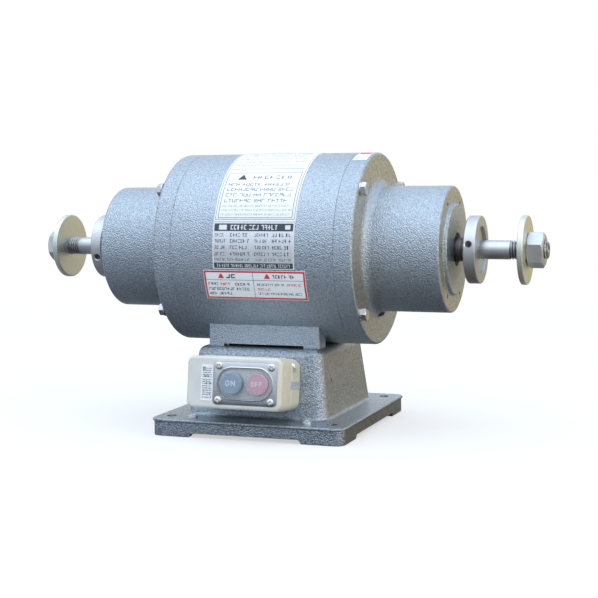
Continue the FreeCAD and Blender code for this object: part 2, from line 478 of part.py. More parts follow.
# ================================================================ PLATES ON THE SHELL
def wrap(x0, x1, lo, hi, t):
    r0, r1 = SHELL_R + 0.01, SHELL_R + t
    a = math.radians(hi)
    f = face([(x0, r0), (x1, r0), (x1, r1), (x0, r1)], lambda x, r: V(MX + x, -r * math.cos(a), AXIS_H + r * math.sin(a)))
    s = f.revolve(V(0, 0, AXIS_H), V(1, 0, 0), hi - lo)
    if s.Volume < 0:
        s.reverse()
    return s
save("rating_plate", wrap(-32.8, 39.2, -9.7, 17.4, 0.55))
save("upper_label", wrap(-32.8, 39.2, 17.9, 98.0, 0.25))
save("lower_label", wrap(-42.0, 48.0, -28.6, -10.5, 0.25))
save("end_label", wrap(74.0, 86.0, 66.0, 84.0, 0.25))

# ================================================================ SWITCH
R_C, R_REAR = 6.0, 8.0     # corner radius of the cover and of the rear case
def sw_outline(inset=0.0, r=R_C):
    return rrect(SW_W / 2 - inset, SW_H / 2 - inset, max(0.6, r - inset))
# rear case: floor against the pedestal, two solid corners with the fixing screws
rear = prism_z(sw_outline(0.0, R_REAR), 0, SW_SEAM - 0.25)
rear = fillet(rear, 0.8, on_z(0), "rear case back edge")
cav = prism_z(sw_outline(2.4, R_REAR), 2.6, 40)
corner_blocks = []
for x, y in SW_SCREWS:
    sx, sy = (1 if x > 0 else -1), (1 if y > 0 else -1)
    x0, x1 = sorted((x - sx * 5.4, sx * 60)); y0, y1 = sorted((y - sy * 5.4, sy * 40))
    corner_blocks.append(box(x0, x1, y0, y1, 0, 40))
cav = cav.cut(comp(corner_blocks))
rear = rear.cut(cav)
for x, y in SW_SCREWS:
    sx, sy = (1 if x > 0 else -1), (1 if y > 0 else -1)
    x0, x1 = sorted((x - sx * 4.1, sx * 60)); y0, y1 = sorted((y - sy * 4.1, sy * 40))
    rear = rear.cut(box(x0, x1, y0, y1, 7.0, 40))
    rear = rear.cut(cyl(2.1, (x, y, -1), (0, 0, 1), 30))
rear = rear.cut(cyl(7.0, (-18, 0, -2), (0, 0, 1), 8))
save("switch_rear_case", sw(rear))
fix = []
for x, y in SW_SCREWS:
    fix.append(sw(pan_head(3.5, 2.8, 1.65, 14.5, (x, y, 7.0), (0, 0, 1))))
save("switch_fixing_screws", comp(fix))
# front cover
D = SW_D
cover = prism_z(sw_outline(), SW_SEAM, D)
cover = fillet(cover, 2.6, on_z(D), "switch cover front edge")
ci = prism_z(sw_outline(2.4), SW_SEAM - 1, D - 3.6)
cover = cover.cut(ci)
stad = lambda hx, hy, z0, z1: prism_z(rrect(hx, hy, hy - 0.001, SW_PX, SW_PY), z0, z1)
cover = cover.cut(prism_z(rrect(28.0, 17.7, 3.6, SW_PX, SW_PY), D - 0.8, D + 1))
cover = cover.cut(stad(25.0, 14.0, D - 1.6, D + 1))
for sx in (-1, 1):
    cover = cover.cut(cyl(BTN_R + 0.4, (SW_PX + sx * BTN_PITCH / 2, SW_PY, D - 6), (0, 0, 1), 10))
BZ = [(SW_PX + sx * 22.9, SW_PY + sy * 14.1) for sx in (-1, 1) for sy in (-1, 1)]
for x, y in BZ:
    cover = cover.cut(cyl(1.35, (x, y, D - 10), (0, 0, 1), 12))
for zz, yy in ((35.5, 8.2), (35.5, -9.4)):
    dim = face(rrect(0.95, 1.8, 0.94, zz, yy), lambda a, b: V(SW_W / 2 - 0.7, b, a)).extrude(V(3, 0, 0))
    cover = cover.cut(dim)
save("switch_cover", sw(cover))
boots = stad(24.8, 13.8, D - 1.55, D - 0.75)
for sx in (-1, 1):
    bx = SW_PX + sx * BTN_PITCH / 2
    dome = face([(0, D - 1.0), (10.6, D - 1.0), (10.6, D - 0.2), (10.35, D + 5.0, 2.2), (0, D + 5.2)],
                lambda r, z: V(r, 0, z)).revolve(V(0, 0, 0), V(0, 0, 1), 360)
    dome.translate(V(bx, SW_PY, 0))
    hol = face([(0, D - 2), (9.75, D - 2), (9.55, D + 4.3, 1.6), (0, D + 4.45)],
               lambda r, z: V(r, 0, z)).revolve(V(0, 0, 0), V(0, 0, 1), 360)
    hol.translate(V(bx, SW_PY, 0))
    boots = boots.fuse(dome)
    boots = boots.cut(hol)
boots = boots.removeSplitter()
save("button_boots", sw(boots))
bez = prism_z(rrect(27.8, 17.5, 3.4, SW_PX, SW_PY), D - 0.72, D + 0.45)
bez = bez.cut(stad(23.8, 12.75, D - 2, D + 2))
for x, y in BZ:
    bez = bez.cut(cyl(1.9, (x, y, D - 2), (0, 0, 1), 5))
save("switch_bezel", sw(bez))
save("bezel_screws", comp([sw(pan_head(3.15, 2.0, 1.3, 8.0, (x, y, D + 0.45), (0, 0, 1))) for x, y in BZ]))

def button(sx, drop):
    bx = SW_PX + sx * BTN_PITCH / 2
    f = D + 3.9 - drop                                    # front face
    prof = [(0, f), (BTN_R, f, 1.2), (BTN_R, f - 8.6), (10.4, f - 8.6), (10.4, f - 10.4), (3.0, f - 10.4),
            (3.0, ROCK_Z + 9.6 - drop), (0, ROCK_Z + 9.6 - drop)]
    b = face(prof, lambda r, z: V(r, 0, z)).revolve(V(0, 0, 0), V(0, 0, 1), 360)
    tip = Part.makeSphere(3.0, V(0, 0, ROCK_Z + 9.6 - drop)).cut(box(-5, 5, -5, 5, ROCK_Z + 9.6 - drop, ROCK_Z + 20))
    b = b.fuse(tip).removeSplitter()
    b.translate(V(bx, SW_PY, 0))
    return b
HALF_TILT = math.asin(BTN_TRAVEL / 2 / (BTN_PITCH / 2))
# ON stands out, OFF is pressed in; tip of a raised stem sits 0.45 above its rocker arm
save("on_button", sw(button(-1, 0.0)))
save("off_button", sw(button(1, BTN_TRAVEL)))
# rocker under both stems
rk_top = 6.6 - BTN_TRAVEL / 2 - 0.45                       # arm face above the pivot at the stem
rock = box(-14.0, 14.0, -6.0, 6.0, -3.0, rk_top)
rock = rock.cut(box(-20, -6.5, -7, 7, -4, -0.2)).cut(box(6.5, 20, -7, 7, -4, -0.2))
rock = fillet(rock, 1.0, lambda e: e.BoundBox.YLength > 10, "rocker edges")
rock = rock.cut(cyl(1.55, (0, -10, 0), (0, 1, 0), 20))
mc = []
for yy in (-4.2, 0.0, 4.2):
    m = box(-13.0, -8.6, yy - 1.0, yy + 1.0, -1.4, -0.22).fuse(cyl(0.9, (-11.05, yy, -2.4), (0, 0, 1), 1.2))
    mc.append(m)
def tilt_rocker(s):
    s = s.copy()
    s.rotate(V(0, 0, 0), V(0, 1, 0), math.degrees(HALF_TILT))   # raises the -X (ON) arm
    s.translate(V(SW_PX, SW_PY, ROCK_Z))
    return sw(s)
save("switch_rocker", tilt_rocker(rock))
save("moving_contacts", tilt_rocker(comp(mc)))
save("rocker_pin", sw(cyl(1.5, (SW_PX, SW_PY - 11.5, ROCK_Z), (0, 1, 0), 23.0)))
# contact block with the pivot posts
blk = prism_z(rrect(34.5, 16.5, 2.0), 2.65, 12.0)
for b_ in corner_blocks:
    bb = b_.BoundBox
    blk = blk.cut(box(bb.XMin - 0.5, bb.XMax + 0.5, bb.YMin - 0.5, bb.YMax + 0.5, 0, 40))
for sy in (-1, 1):
    y0, y1 = sorted((SW_PY + sy * 7.2, SW_PY + sy * 11.2))
    blk = blk.fuse(box(SW_PX - 4.5, SW_PX + 4.5, y0, y1, 11.9, ROCK_Z + 4.0))
blk = blk.cut(cyl(1.52, (SW_PX, -18, ROCK_Z), (0, 1, 0), 36))
blk = blk.cut(cyl(6.5, (-18, 0, 0), (0, 0, 1), 20))
TS = [(x, y) for x in (-30.0, -6.5) for y in (-10.0, 0.0, 10.0) if not (x < -25 and y < -5)] + [(24.0, -10.0)]
for x, y in TS:
    blk = blk.cut(cyl(1.6, (x, y, 4), (0, 0, 1), 12))
save("contact_block", sw(blk.removeSplitter()))
fc = [box(SW_PX - 13.3, SW_PX - 8.6, SW_PY + yy - 1.1, SW_PY + yy + 1.1, 12.02, ROCK_Z - 2.4 - BTN_TRAVEL / 2 - 0.65) for yy in (-4.2, 0.0, 4.2)]
save("fixed_contacts", sw(comp(fc)))
save("terminal_screws", comp([sw(pan_head(2.9, 1.9, 1.5, 6.0, (x, y, 12.0), (0, 0, 1), "slot")) for x, y in TS]))
# spring clip on the right side that holds the cover
clip = box(SW_W / 2, SW_W / 2 + 0.8, -3.2, 3.0, 1.2, SW_SEAM + 1.6)
clip = fillet(clip, 0.35, lambda e: e.BoundBox.ZLength > 10 and e.BoundBox.Center.x > SW_W / 2 + 0.6, "clip edges")
save("cover_clip", sw(clip))
lab = box(-28.6, -18.2, SW_PY - 14.8, SW_PY + 14.8, D, D + 0.2)
save("switch_label", sw(lab))
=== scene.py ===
import bpy
import bmesh
import math
import random
from mathutils import Matrix, Vector


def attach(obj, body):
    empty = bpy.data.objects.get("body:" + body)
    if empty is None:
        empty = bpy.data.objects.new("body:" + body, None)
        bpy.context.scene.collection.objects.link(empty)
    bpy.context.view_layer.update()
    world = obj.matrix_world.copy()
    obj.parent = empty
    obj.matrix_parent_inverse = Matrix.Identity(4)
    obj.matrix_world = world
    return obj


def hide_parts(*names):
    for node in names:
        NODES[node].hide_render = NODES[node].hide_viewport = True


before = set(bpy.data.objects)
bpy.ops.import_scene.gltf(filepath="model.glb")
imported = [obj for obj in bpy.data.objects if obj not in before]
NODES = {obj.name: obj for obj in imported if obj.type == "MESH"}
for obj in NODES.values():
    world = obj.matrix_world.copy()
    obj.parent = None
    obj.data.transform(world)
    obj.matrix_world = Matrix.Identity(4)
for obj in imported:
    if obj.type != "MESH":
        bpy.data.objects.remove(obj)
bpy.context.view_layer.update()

MM = 0.001
scene = bpy.context.scene

# ------------------------------------------------------------------ dimensions (mm, row frame)
AXIS_H, MX = 155.3, 3.0
SHELL_R = 82.07
TILT = math.atan(8.0 / 58.4)
ST, CT = math.sin(TILT), math.cos(TILT)
SW_Z, SW_CX = 44.05, -2.7
SW_Y = -(57.5 + 8.0 * (73.2 - SW_Z) / 58.4)
SW_D, SW_PX, SW_PY = 44.5, 10.1, -0.3
BTN_PITCH, BTN_R, BTN_TRAVEL = 22.1, 8.9, 3.5


# ------------------------------------------------------------------ mesh helpers
def new_object(name, verts, faces, smooth=35.0):
    me = bpy.data.meshes.new(name)
    me.from_pydata([tuple(c * MM for c in v) for v in verts], [], faces)
    me.validate()
    bm = bmesh.new()
    bm.from_mesh(me)
    bmesh.ops.remove_doubles(bm, verts=bm.verts, dist=2e-6)
    bmesh.ops.recalc_face_normals(bm, faces=bm.faces)
    bm.to_mesh(me)
    bm.free()
    if smooth is not None:
        me.shade_smooth()
        me.set_sharp_from_angle(angle=math.radians(smooth))
    ob = bpy.data.objects.new(name, me)
    scene.collection.objects.link(ob)
    return ob


class Build:
    """Collects several closed shells into one mesh."""

    def __init__(self):
        self.v, self.f = [], []

    def add(self, verts, faces):
        n = len(self.v)
        self.v += list(verts)
        self.f += [tuple(i + n for i in f) for f in faces]

    def make(self, name, smooth=35.0):
        return new_object(name, self.v, self.f, smooth)


def rings_to_mesh(rings, closed_start=True, closed_end=True):
    """Rings of equal length joined by quads; the ends close on a centre vertex."""
    n = len(rings[0])
    verts = [p for r in rings for p in r]
    faces = []
    for i in range(len(rings) - 1):
        a, b = i * n, (i + 1) * n
        for j in range(n):
            k = (j + 1) % n
            faces.append((a + j, a + k, b + k, b + j))
    if closed_start:
        c = tuple(sum(p[i] for p in rings[0]) / n for i in range(3))
        verts.append(c)
        m = len(verts) - 1
        faces += [(m, (j + 1) % n, j) for j in range(n)]
    if closed_end:
        c = tuple(sum(p[i] for p in rings[-1]) / n for i in range(3))
        verts.append(c)
        m = len(verts) - 1
        b = (len(rings) - 1) * n
        faces += [(m, b + j, b + (j + 1) % n) for j in range(n)]
    return verts, faces


def loop_rings(rings):
    """A ring of rings: closed both ways, such as a washer's section turned round."""
    n = len(rings[0])
    verts = [p for r in rings for p in r]
    faces = []
    m = len(rings)
    for i in range(m):
        a, b = i * n, ((i + 1) % m) * n
        for j in range(n):
            k = (j + 1) % n
            faces.append((a + j, a + k, b + k, b + j))
    return verts, faces


def frame_of(p, d, up=(0, 0, 1)):
    """Maps local (u, v, w) to a point, with w along d from p."""
    d = Vector(d).normalized()
    up = Vector(up)
    if abs(d.dot(up)) > 0.99:
        up = Vector((0, 1, 0))
    u = up.cross(d).normalized()
    v = d.cross(u)
    p = Vector(p)
    return lambda a, b, c: tuple(p + u * a + v * b + d * c)


def sw(x, y, z):
    """Switch-local millimetres (across, up the face, outward) to the row frame."""
    return (SW_CX + x, SW_Y + ST * y - CT * z, SW_Z + CT * y + ST * z)


def sw_frame(x, y, z0):
    return lambda a, b, c: sw(x + a, y + b, z0 + c)


def ang_pt(r, deg, x):
    a = math.radians(deg)
    return (MX + x, -r * math.cos(a), AXIS_H + r * math.sin(a))


def hex_r(phi, af, rho):
    """Radius of a hexagon with rounded corners at angle phi, a flat facing phi = 0."""
    p = abs((math.degrees(phi) + 30.0) % 60.0 - 30.0)
    flat = af / 2.0
    d = (flat - rho) / math.cos(math.radians(30))
    q = math.radians(30.0 - p)
    if d * math.sin(q) < rho * math.sin(math.radians(30)):
        return d * math.cos(q) + math.sqrt(max(0.0, rho * rho - (d * math.sin(q)) ** 2))
    return flat / math.cos(math.radians(p))


def smin(a, b, k):
    h = max(0.0, min(1.0, 0.5 + 0.5 * (b - a) / k))
    return b * (1 - h) + a * h - k * h * (1 - h)


def smoothstep(a, b, x):
    t = max(0.0, min(1.0, (x - a) / (b - a)))
    return t * t * (3 - 2 * t)


def arc(cx, cy, r, a0, a1, n):
    return [(cx + r * math.cos(math.radians(a0 + (a1 - a0) * i / n)), cy + r * math.sin(math.radians(a0 + (a1 - a0) * i / n))) for i in range(n + 1)]


# ------------------------------------------------------------------ material helpers
class Mat:
    def __init__(self, name, **sockets):
        self.m = bpy.data.materials.new(name)
        self.m.use_nodes = True
        self.nt = self.m.node_tree
        self.nt.nodes.clear()
        self.out = self.nt.nodes.new("ShaderNodeOutputMaterial")
        self.b = self.nt.nodes.new("ShaderNodeBsdfPrincipled")
        self.nt.links.new(self.b.outputs[0], self.out.inputs[0])
        for k, v in sockets.items():
            self.set(k.replace("_", " "), v)
        self._co = None

    def set(self, socket, v):
        s = self.b.inputs[socket]
        if hasattr(v, "is_linked") or isinstance(v, bpy.types.NodeSocket):
            self.nt.links.new(v, s)
        elif isinstance(v, tuple) and len(v) == 3 and s.type == "RGBA":
            s.default_value = (*v, 1.0)
        else:
            s.default_value = v

    def node(self, kind, **attrs):
        n = self.nt.nodes.new(kind)
        for k, v in attrs.items():
            setattr(n, k, v)
        return n

    def put(self, sock, v):
        if isinstance(v, bpy.types.NodeSocket):
            self.nt.links.new(v, sock)
        elif isinstance(v, tuple) and len(v) == 3 and sock.type == "RGBA":
            sock.default_value = (*v, 1.0)
        else:
            sock.default_value = v

    def co(self):
        if self._co is None:
            self._co = self.node("ShaderNodeTexCoord").outputs["Object"]
        return self._co

    def mapping(self, scale=(1, 1, 1), rot=(0, 0, 0), loc=(0, 0, 0), vec=None):
        n = self.node("ShaderNodeMapping")
        self.put(n.inputs["Vector"], vec or self.co())
        n.inputs["Scale"].default_value = scale
        n.inputs["Rotation"].default_value = rot
        n.inputs["Location"].default_value = loc
        return n.outputs[0]

    def noise(self, scale, detail=2.0, rough=0.5, vec=None, dist=0.0, out="Fac"):
        n = self.node("ShaderNodeTexNoise")
        self.put(n.inputs["Vector"], vec or self.co())
        n.inputs["Scale"].default_value = scale
        n.inputs["Detail"].default_value = detail
        n.inputs["Roughness"].default_value = rough
        n.inputs["Distortion"].default_value = dist
        return n.outputs[0 if out == "Fac" else 1]

    def voronoi(self, scale, feature="F1", vec=None, out="Distance", smooth=0.5, rand=1.0):
        n = self.node("ShaderNodeTexVoronoi", feature=feature)
        self.put(n.inputs["Vector"], vec or self.co())
        n.inputs["Scale"].default_value = scale
        if "Smoothness" in n.inputs and feature == "SMOOTH_F1":
            n.inputs["Smoothness"].default_value = smooth
        n.inputs["Randomness"].default_value = rand
        return n.outputs[out]

    def math(self, op, a, b=0.0, c=0.0, clamp=False):
        n = self.node("ShaderNodeMath", operation=op, use_clamp=clamp)
        for i, v in enumerate((a, b, c)):
            self.put(n.inputs[i], v)
        return n.outputs[0]

    def ramp(self, fac, stops, interp="LINEAR"):
        n = self.node("ShaderNodeValToRGB")
        n.color_ramp.interpolation = interp
        e = n.color_ramp.elements
        while len(e) < len(stops):
            e.new(0.5)
        for el, (pos, col) in zip(e, stops):
            el.position = pos
            el.color = (*col, 1.0) if isinstance(col, tuple) else (col, col, col, 1.0)
        self.put(n.inputs[0], fac)
        return n.outputs[0]

    def mix(self, fac, a, b, blend="MIX"):
        n = self.node("ShaderNodeMix", data_type="RGBA", blend_type=blend)
        self.put(n.inputs[0], fac)
        self.put(n.inputs[6], a)
        self.put(n.inputs[7], b)
        return n.outputs[2]

    def remap(self, v, a, b, c, d, clamp=True):
        n = self.node("ShaderNodeMapRange", clamp=clamp)
        for i, x in enumerate((v, a, b, c, d)):
            self.put(n.inputs[i], x)
        return n.outputs[0]

    def sep(self, vec=None):
        n = self.node("ShaderNodeSeparateXYZ")
        self.put(n.inputs[0], vec or self.co())
        return n.outputs

    def bump(self, height, strength=0.3, distance=0.0003, normal=None):
        n = self.node("ShaderNodeBump")
        n.inputs["Strength"].default_value = strength
        n.inputs["Distance"].default_value = distance
        self.put(n.inputs["Height"], height)
        if normal is not None:
            self.put(n.inputs["Normal"], normal)
        return n.outputs[0]

    def radius(self, y=0.0, z=AXIS_H * MM):
        """Distance from the shaft axis."""
        s = self.sep()
        dy = self.math("SUBTRACT", s[1], y)
        dz = self.math("SUBTRACT", s[2], z)
        return self.math("SQRT", self.math("ADD", self.math("MULTIPLY", dy, dy), self.math("MULTIPLY", dz, dz)))


def hammer_paint(name="hammer_paint", cell=920.0, speckle=0.0, relief=1.0, ends=0.0, ends_k=1.0, inner=0.0):
    """Hammer-finish enamel: fine pebbled cells of silvery blue-grey. speckle darkens the cell borders, as on the castings."""
    m = Mat(name)
    warp = m.noise(150, 2, 0.5, out="Color")
    n = m.node("ShaderNodeVectorMath", operation="MULTIPLY_ADD")
    m.put(n.inputs[0], warp)
    n.inputs[1].default_value = (0.0010, 0.0010, 0.0010)
    m.put(n.inputs[2], m.co())
    vec = n.outputs[0]
    cells = m.voronoi(cell, "SMOOTH_F1", vec=vec, smooth=0.3)
    edge = m.voronoi(cell, "DISTANCE_TO_EDGE", vec=vec)
    fine = m.voronoi(cell * 1.9, "F1", vec=vec)
    peel = m.noise(520, 3, 0.55)
    blot = m.noise(24, 3, 0.6)
    pits = m.noise(560, 2, 0.5)
    h = m.math("ADD", m.remap(cells, 0.0, 0.75, 1.0, 0.0), m.math("MULTIPLY", fine, -0.20))
    h = m.math("ADD", h, m.math("MULTIPLY", peel, 0.5))
    k = 1.0 - 0.62 * speckle
    lo, mid, hi = tuple(c * k for c in (0.31, 0.35, 0.39)), (0.475, 0.535, 0.60), (0.58, 0.65, 0.725)
    body = m.math("ADD", m.remap(edge, 0.0, 0.30, 0.0, 0.75), m.math("MULTIPLY", m.math("SUBTRACT", peel, 0.5), 0.8))
    body = m.math("ADD", body, m.remap(pits, 0.34, 0.47, -0.20 - 0.45 * speckle, 0.0))
    col = m.ramp(body, [(0.0, lo), (0.34, mid), (0.85, hi)])
    col = m.mix(m.remap(blot, 0.35, 0.7, 0.0, 0.12), col, (0.44, 0.48, 0.52))
    flake = m.voronoi(2600, "F1", out="Color")
    fl = m.node("ShaderNodeSeparateColor")
    m.put(fl.inputs[0], flake)
    col = m.mix(m.math("MULTIPLY", m.math("GREATER_THAN", fl.outputs[0], 0.88), 0.25), col, (0.80, 0.86, 0.93))
    if ends:
        # faces that look to +X are tinted warm: a stand-in for the warm surroundings they reflect, not a property of the paint
        gn = m.node("ShaderNodeNewGeometry")
        vt = m.node("ShaderNodeVectorTransform", vector_type="NORMAL", convert_from="WORLD", convert_to="OBJECT")
        m.put(vt.inputs[0], gn.outputs["True Normal"])
        sx = m.node("ShaderNodeSeparateXYZ")
        m.put(sx.inputs[0], vt.outputs[0])
        flat = m.remap(sx.outputs[0], 0.90, 0.99, 0.0, 1.0)
        coarse = m.noise(330, 2, 0.5)
        pebble = m.ramp(m.math("ADD", m.math("ADD", m.remap(edge, 0.0, 0.32, 0.0, 0.8), m.math("MULTIPLY", m.math("SUBTRACT", peel, 0.5), 0.9)),
                               m.math("MULTIPLY", m.math("SUBTRACT", coarse, 0.5), 1.3)),
                        [(a, tuple(c * ends_k for c in q)) for a, q in
                         ((0.0, (0.30, 0.285, 0.23)), (0.38, (0.545, 0.52, 0.435)), (0.9, (0.70, 0.68, 0.585)))])
        if inner:
            flat = m.math("MULTIPLY", flat, m.remap(m.radius(), inner, inner + 0.004, 0.25, 1.0))
        col = m.mix(m.math("MULTIPLY", flat, ends), col, pebble)
    m.set("Base Color", col)
    m.set("Metallic", 0.88)
    m.set("Roughness", m.remap(m.math("ADD", peel, m.math("MULTIPLY", fl.outputs[1], 0.25)), 0.3, 0.9, 0.27, 0.40))
    m.set("Coat Weight", 0.22)
    m.set("Coat Roughness", 0.20)
    m.set("Normal", m.bump(h, 1.0, 0.00037 * relief))
    return m.m


def turned_steel(name, base=(0.58, 0.585, 0.59), rough=(0.18, 0.34), rings=2600.0, along_x=False, stain=0.25, metallic=1.0):
    """Turned and lightly oiled steel, with fine lathe rings."""
    m = Mat(name)
    r = m.radius()
    x = m.sep()[0]
    t = x if along_x else m.math("ADD", r, m.math("MULTIPLY", x, 0.37))
    w = m.math("SINE", m.math("MULTIPLY", t, rings * 2 * math.pi))
    jitter = m.noise(60, 3, 0.6)
    v = m.node("ShaderNodeCombineXYZ")
    m.put(v.inputs[0], m.math("MULTIPLY", r, 900.0))
    m.put(v.inputs[1], m.math("MULTIPLY", x, 900.0))
    streak = m.noise(1.0, 3, 0.7, vec=v.outputs[0])
    dirt = m.noise(55, 4, 0.6)
    col = m.mix(m.remap(streak, 0.35, 0.7, 0.0, 0.35), base, tuple(c * 0.72 for c in base))
    col = m.mix(m.remap(dirt, 0.52, 0.75, 0.0, stain), col, (0.30, 0.27, 0.22))
    if along_x:
        # oily, heat-darkened journals next to the seals
        ax = m.math("ABSOLUTE", m.math("SUBTRACT", x, MX * MM))
        dark = m.math("MULTIPLY", m.remap(ax, 0.140, 0.143, 0.0, 1.0), m.remap(ax, 0.1655, 0.1668, 1.0, 0.0))
        col = m.mix(m.math("MULTIPLY", dark, m.remap(streak, 0.3, 0.7, 0.96, 0.78)), col, (0.085, 0.070, 0.060))
        # painted shade in the thread roots, darkening the recesses between the turns
        root = m.math("MULTIPLY", m.math("GREATER_THAN", ax, 0.2000), m.remap(r, 0.0067, 0.0077, 0.75, 0.0))
        col = m.mix(root, col, (0.11, 0.105, 0.10))
    m.set("Base Color", col)
    m.set("Metallic", metallic)
    m.set("Roughness", m.remap(m.math("ADD", m.math("MULTIPLY", streak, 0.7), m.math("MULTIPLY", jitter, 0.5)), 0.3, 0.9, rough[0], rough[1]))
    h = m.math("ADD", m.math("MULTIPLY", w, 0.25), streak)
    m.set("Normal", m.bump(h, 0.30, 0.00004))
    return m.m


def plated(name, base=(0.66, 0.67, 0.68), rough=(0.16, 0.30), yellow=0.0, grain=900.0):
    """Zinc-plated fastener steel: bright, slightly mottled, with small handling marks."""
    m = Mat(name)
    mott = m.noise(grain, 4, 0.65)
    big = m.noise(130, 3, 0.6)
    col = m.mix(m.remap(mott, 0.3, 0.75, 0.0, 0.45), base, tuple(c * 0.78 for c in base))
    if yellow:
        col = m.mix(m.remap(big, 0.35, 0.7, yellow * 0.5, yellow), col, (0.66, 0.60, 0.30))
    m.set("Base Color", col)
    m.set("Metallic", 1.0)
    m.set("Roughness", m.remap(m.math("ADD", m.math("MULTIPLY", mott, 0.6), m.math("MULTIPLY", big, 0.4)), 0.3, 0.7, rough[0], rough[1]))
    scratch = m.noise(1.0, 3, 0.7, vec=m.mapping((2400, 300, 900), (0.3, 0.6, 0.2)))
    m.set("Normal", m.bump(m.math("ADD", mott, m.math("MULTIPLY", scratch, 0.6)), 0.22, 0.00005))
    return m.m


def moulded(name, base, rough=0.42, grain=1500.0, vary=0.06, sheen_spec=0.5, bump=0.18, sub=0.0):
    """Moulded plastic with a fine spark-eroded grain and slight handling soil."""
    m = Mat(name)
    g = m.voronoi(grain, "SMOOTH_F1", smooth=0.6)
    soil = m.noise(45, 4, 0.65)
    fine = m.noise(420, 2, 0.5)
    dark = tuple(c * (1 - vary * 2.6) for c in base)
    col = m.mix(m.remap(soil, 0.42, 0.72, 0.0, 0.55), base, dark)
    col = m.mix(m.remap(fine, 0.3, 0.7, 0.0, 0.18), col, tuple(min(1.0, c * 1.08) for c in base))
    m.set("Base Color", col)
    m.set("Roughness", m.remap(m.math("ADD", m.math("MULTIPLY", soil, 0.5), m.math("MULTIPLY", fine, 0.5)), 0.3, 0.7, rough - 0.06, rough + 0.10))
    m.set("Specular IOR Level", sheen_spec)
    if sub:
        m.set("Subsurface Weight", sub)
        m.set("Subsurface Radius", (0.6, 0.5, 0.4))
        m.set("Subsurface Scale", 0.0012)
    m.set("Normal", m.bump(m.math("ADD", m.math("MULTIPLY", g, 0.7), m.math("MULTIPLY", fine, 0.6)), bump, 0.00006))
    return m.m


def case_plastic(name):
    """Ivory switch-box moulding, cooler on its front, with painted warm light tinting its right end yellow."""
    m = Mat(name)
    g = m.voronoi(1500, "SMOOTH_F1", smooth=0.6)
    soil = m.noise(45, 4, 0.65)
    fine = m.noise(420, 2, 0.5)
    x = m.sep()[0]
    # painted warm light: the right end is tinted yellow by its x position, standing in for the warm light from the
    # right
    warm_light_mask = m.remap(m.math("ADD", x, m.math("MULTIPLY", m.math("SUBTRACT", soil, 0.5), 0.006)), 0.031, 0.0385, 0.0, 1.0)
    col = m.mix(warm_light_mask, (0.745, 0.755, 0.725), (0.73, 0.69, 0.545))
    col = m.mix(m.remap(soil, 0.42, 0.72, 0.0, 0.5), col, (0.60, 0.585, 0.51))
    col = m.mix(m.remap(fine, 0.3, 0.7, 0.0, 0.18), col, (0.84, 0.84, 0.80))
    m.set("Base Color", col)
    m.set("Roughness", m.remap(m.math("ADD", m.math("MULTIPLY", soil, 0.5), m.math("MULTIPLY", fine, 0.5)), 0.3, 0.7, 0.36, 0.52))
    m.set("Subsurface Weight", 0.08)
    m.set("Subsurface Radius", (0.6, 0.5, 0.35))
    m.set("Subsurface Scale", 0.0012)
    m.set("Normal", m.bump(m.math("ADD", m.math("MULTIPLY", g, 0.7), m.math("MULTIPLY", fine, 0.6)), 0.18, 0.00006))
    return m.m


def film(name, base=(0.93, 0.94, 0.95), rough=0.34):
    """Printed polyester label film, with faint waviness and handling marks."""
    m = Mat(name)
    wavy = m.noise(70, 2, 0.5)
    grime = m.noise(38, 4, 0.7)
    fibre = m.noise(900, 2, 0.5)
    col = m.mix(m.remap(grime, 0.5, 0.8, 0.0, 0.22), base, tuple(c * 0.80 for c in base))
    col = m.mix(m.remap(fibre, 0.4, 0.7, 0.0, 0.10), col, tuple(c * 0.92 for c in base))
    m.set("Base Color", col)
    m.set("Roughness", m.remap(grime, 0.3, 0.7, rough - 0.08, rough + 0.1))
    m.set("Coat Weight", 0.25)
    m.set("Coat Roughness", 0.18)
    m.set("Normal", m.bump(wavy, 0.12, 0.0004))
    return m.m


def ink(name, base, rough=0.45):
    m = Mat(name)
    n = m.noise(700, 3, 0.6)
    m.set("Base Color", m.mix(m.remap(n, 0.35, 0.75, 0.0, 0.5), base, tuple(min(1, c * 1.35 + 0.03) for c in base)))
    m.set("Roughness", m.remap(n, 0.3, 0.7, rough - 0.05, rough + 0.1))
    m.set("Normal", m.bump(n, 0.1, 0.00003))
    return m.m


def brushed_plate(name, base=(0.62, 0.63, 0.64), rough=(0.26, 0.42), axis=(6, 700, 700), metallic=1.0):
    """Satin sheet metal brushed along X."""
    m = Mat(name)
    s = m.noise(1.0, 4, 0.75, vec=m.mapping((axis[0] * 10, axis[1] * 6, axis[2] * 6)))
    big = m.noise(60, 3, 0.6)
    col = m.mix(m.remap(s, 0.3, 0.7, 0.0, 0.4), base, tuple(c * 0.75 for c in base))
    m.set("Base Color", m.mix(m.remap(big, 0.5, 0.75, 0.0, 0.2), col, (0.45, 0.45, 0.44)))
    m.set("Metallic", metallic)
    m.set("Roughness", m.remap(s, 0.3, 0.7, rough[0], rough[1]))
    m.set("Normal", m.bump(s, 0.2, 0.00004))
    return m.m


def bezel_metal(name):
    """Bright-rolled cover plate, with painted shade darkening it towards its bottom and left edge."""
    m = Mat(name)
    st = m.noise(1.0, 4, 0.75, vec=m.mapping((60, 4200, 4200)))
    x, y, z = m.sep()
    # painted shade: dark blue-grey at the bottom and left, bright at the top
    shade_ramp = m.remap(m.math("ADD", z, m.math("MULTIPLY", x, 0.12)), 0.028, 0.062, 0.0, 1.0)
    col = m.mix(shade_ramp, (0.33, 0.36, 0.40), (0.74, 0.745, 0.74))
    col = m.mix(m.remap(m.noise(70, 3, 0.6), 0.45, 0.7, 0.0, 0.35), col, (0.62, 0.68, 0.76))
    m.set("Base Color", m.mix(m.remap(st, 0.3, 0.7, 0.0, 0.3), col, (0.50, 0.50, 0.50)))
    m.set("Metallic", 1.0)
    m.set("Roughness", m.remap(st, 0.3, 0.7, 0.20, 0.30))
    m.set("Normal", m.bump(st, 0.2, 0.00004))
    return m.m


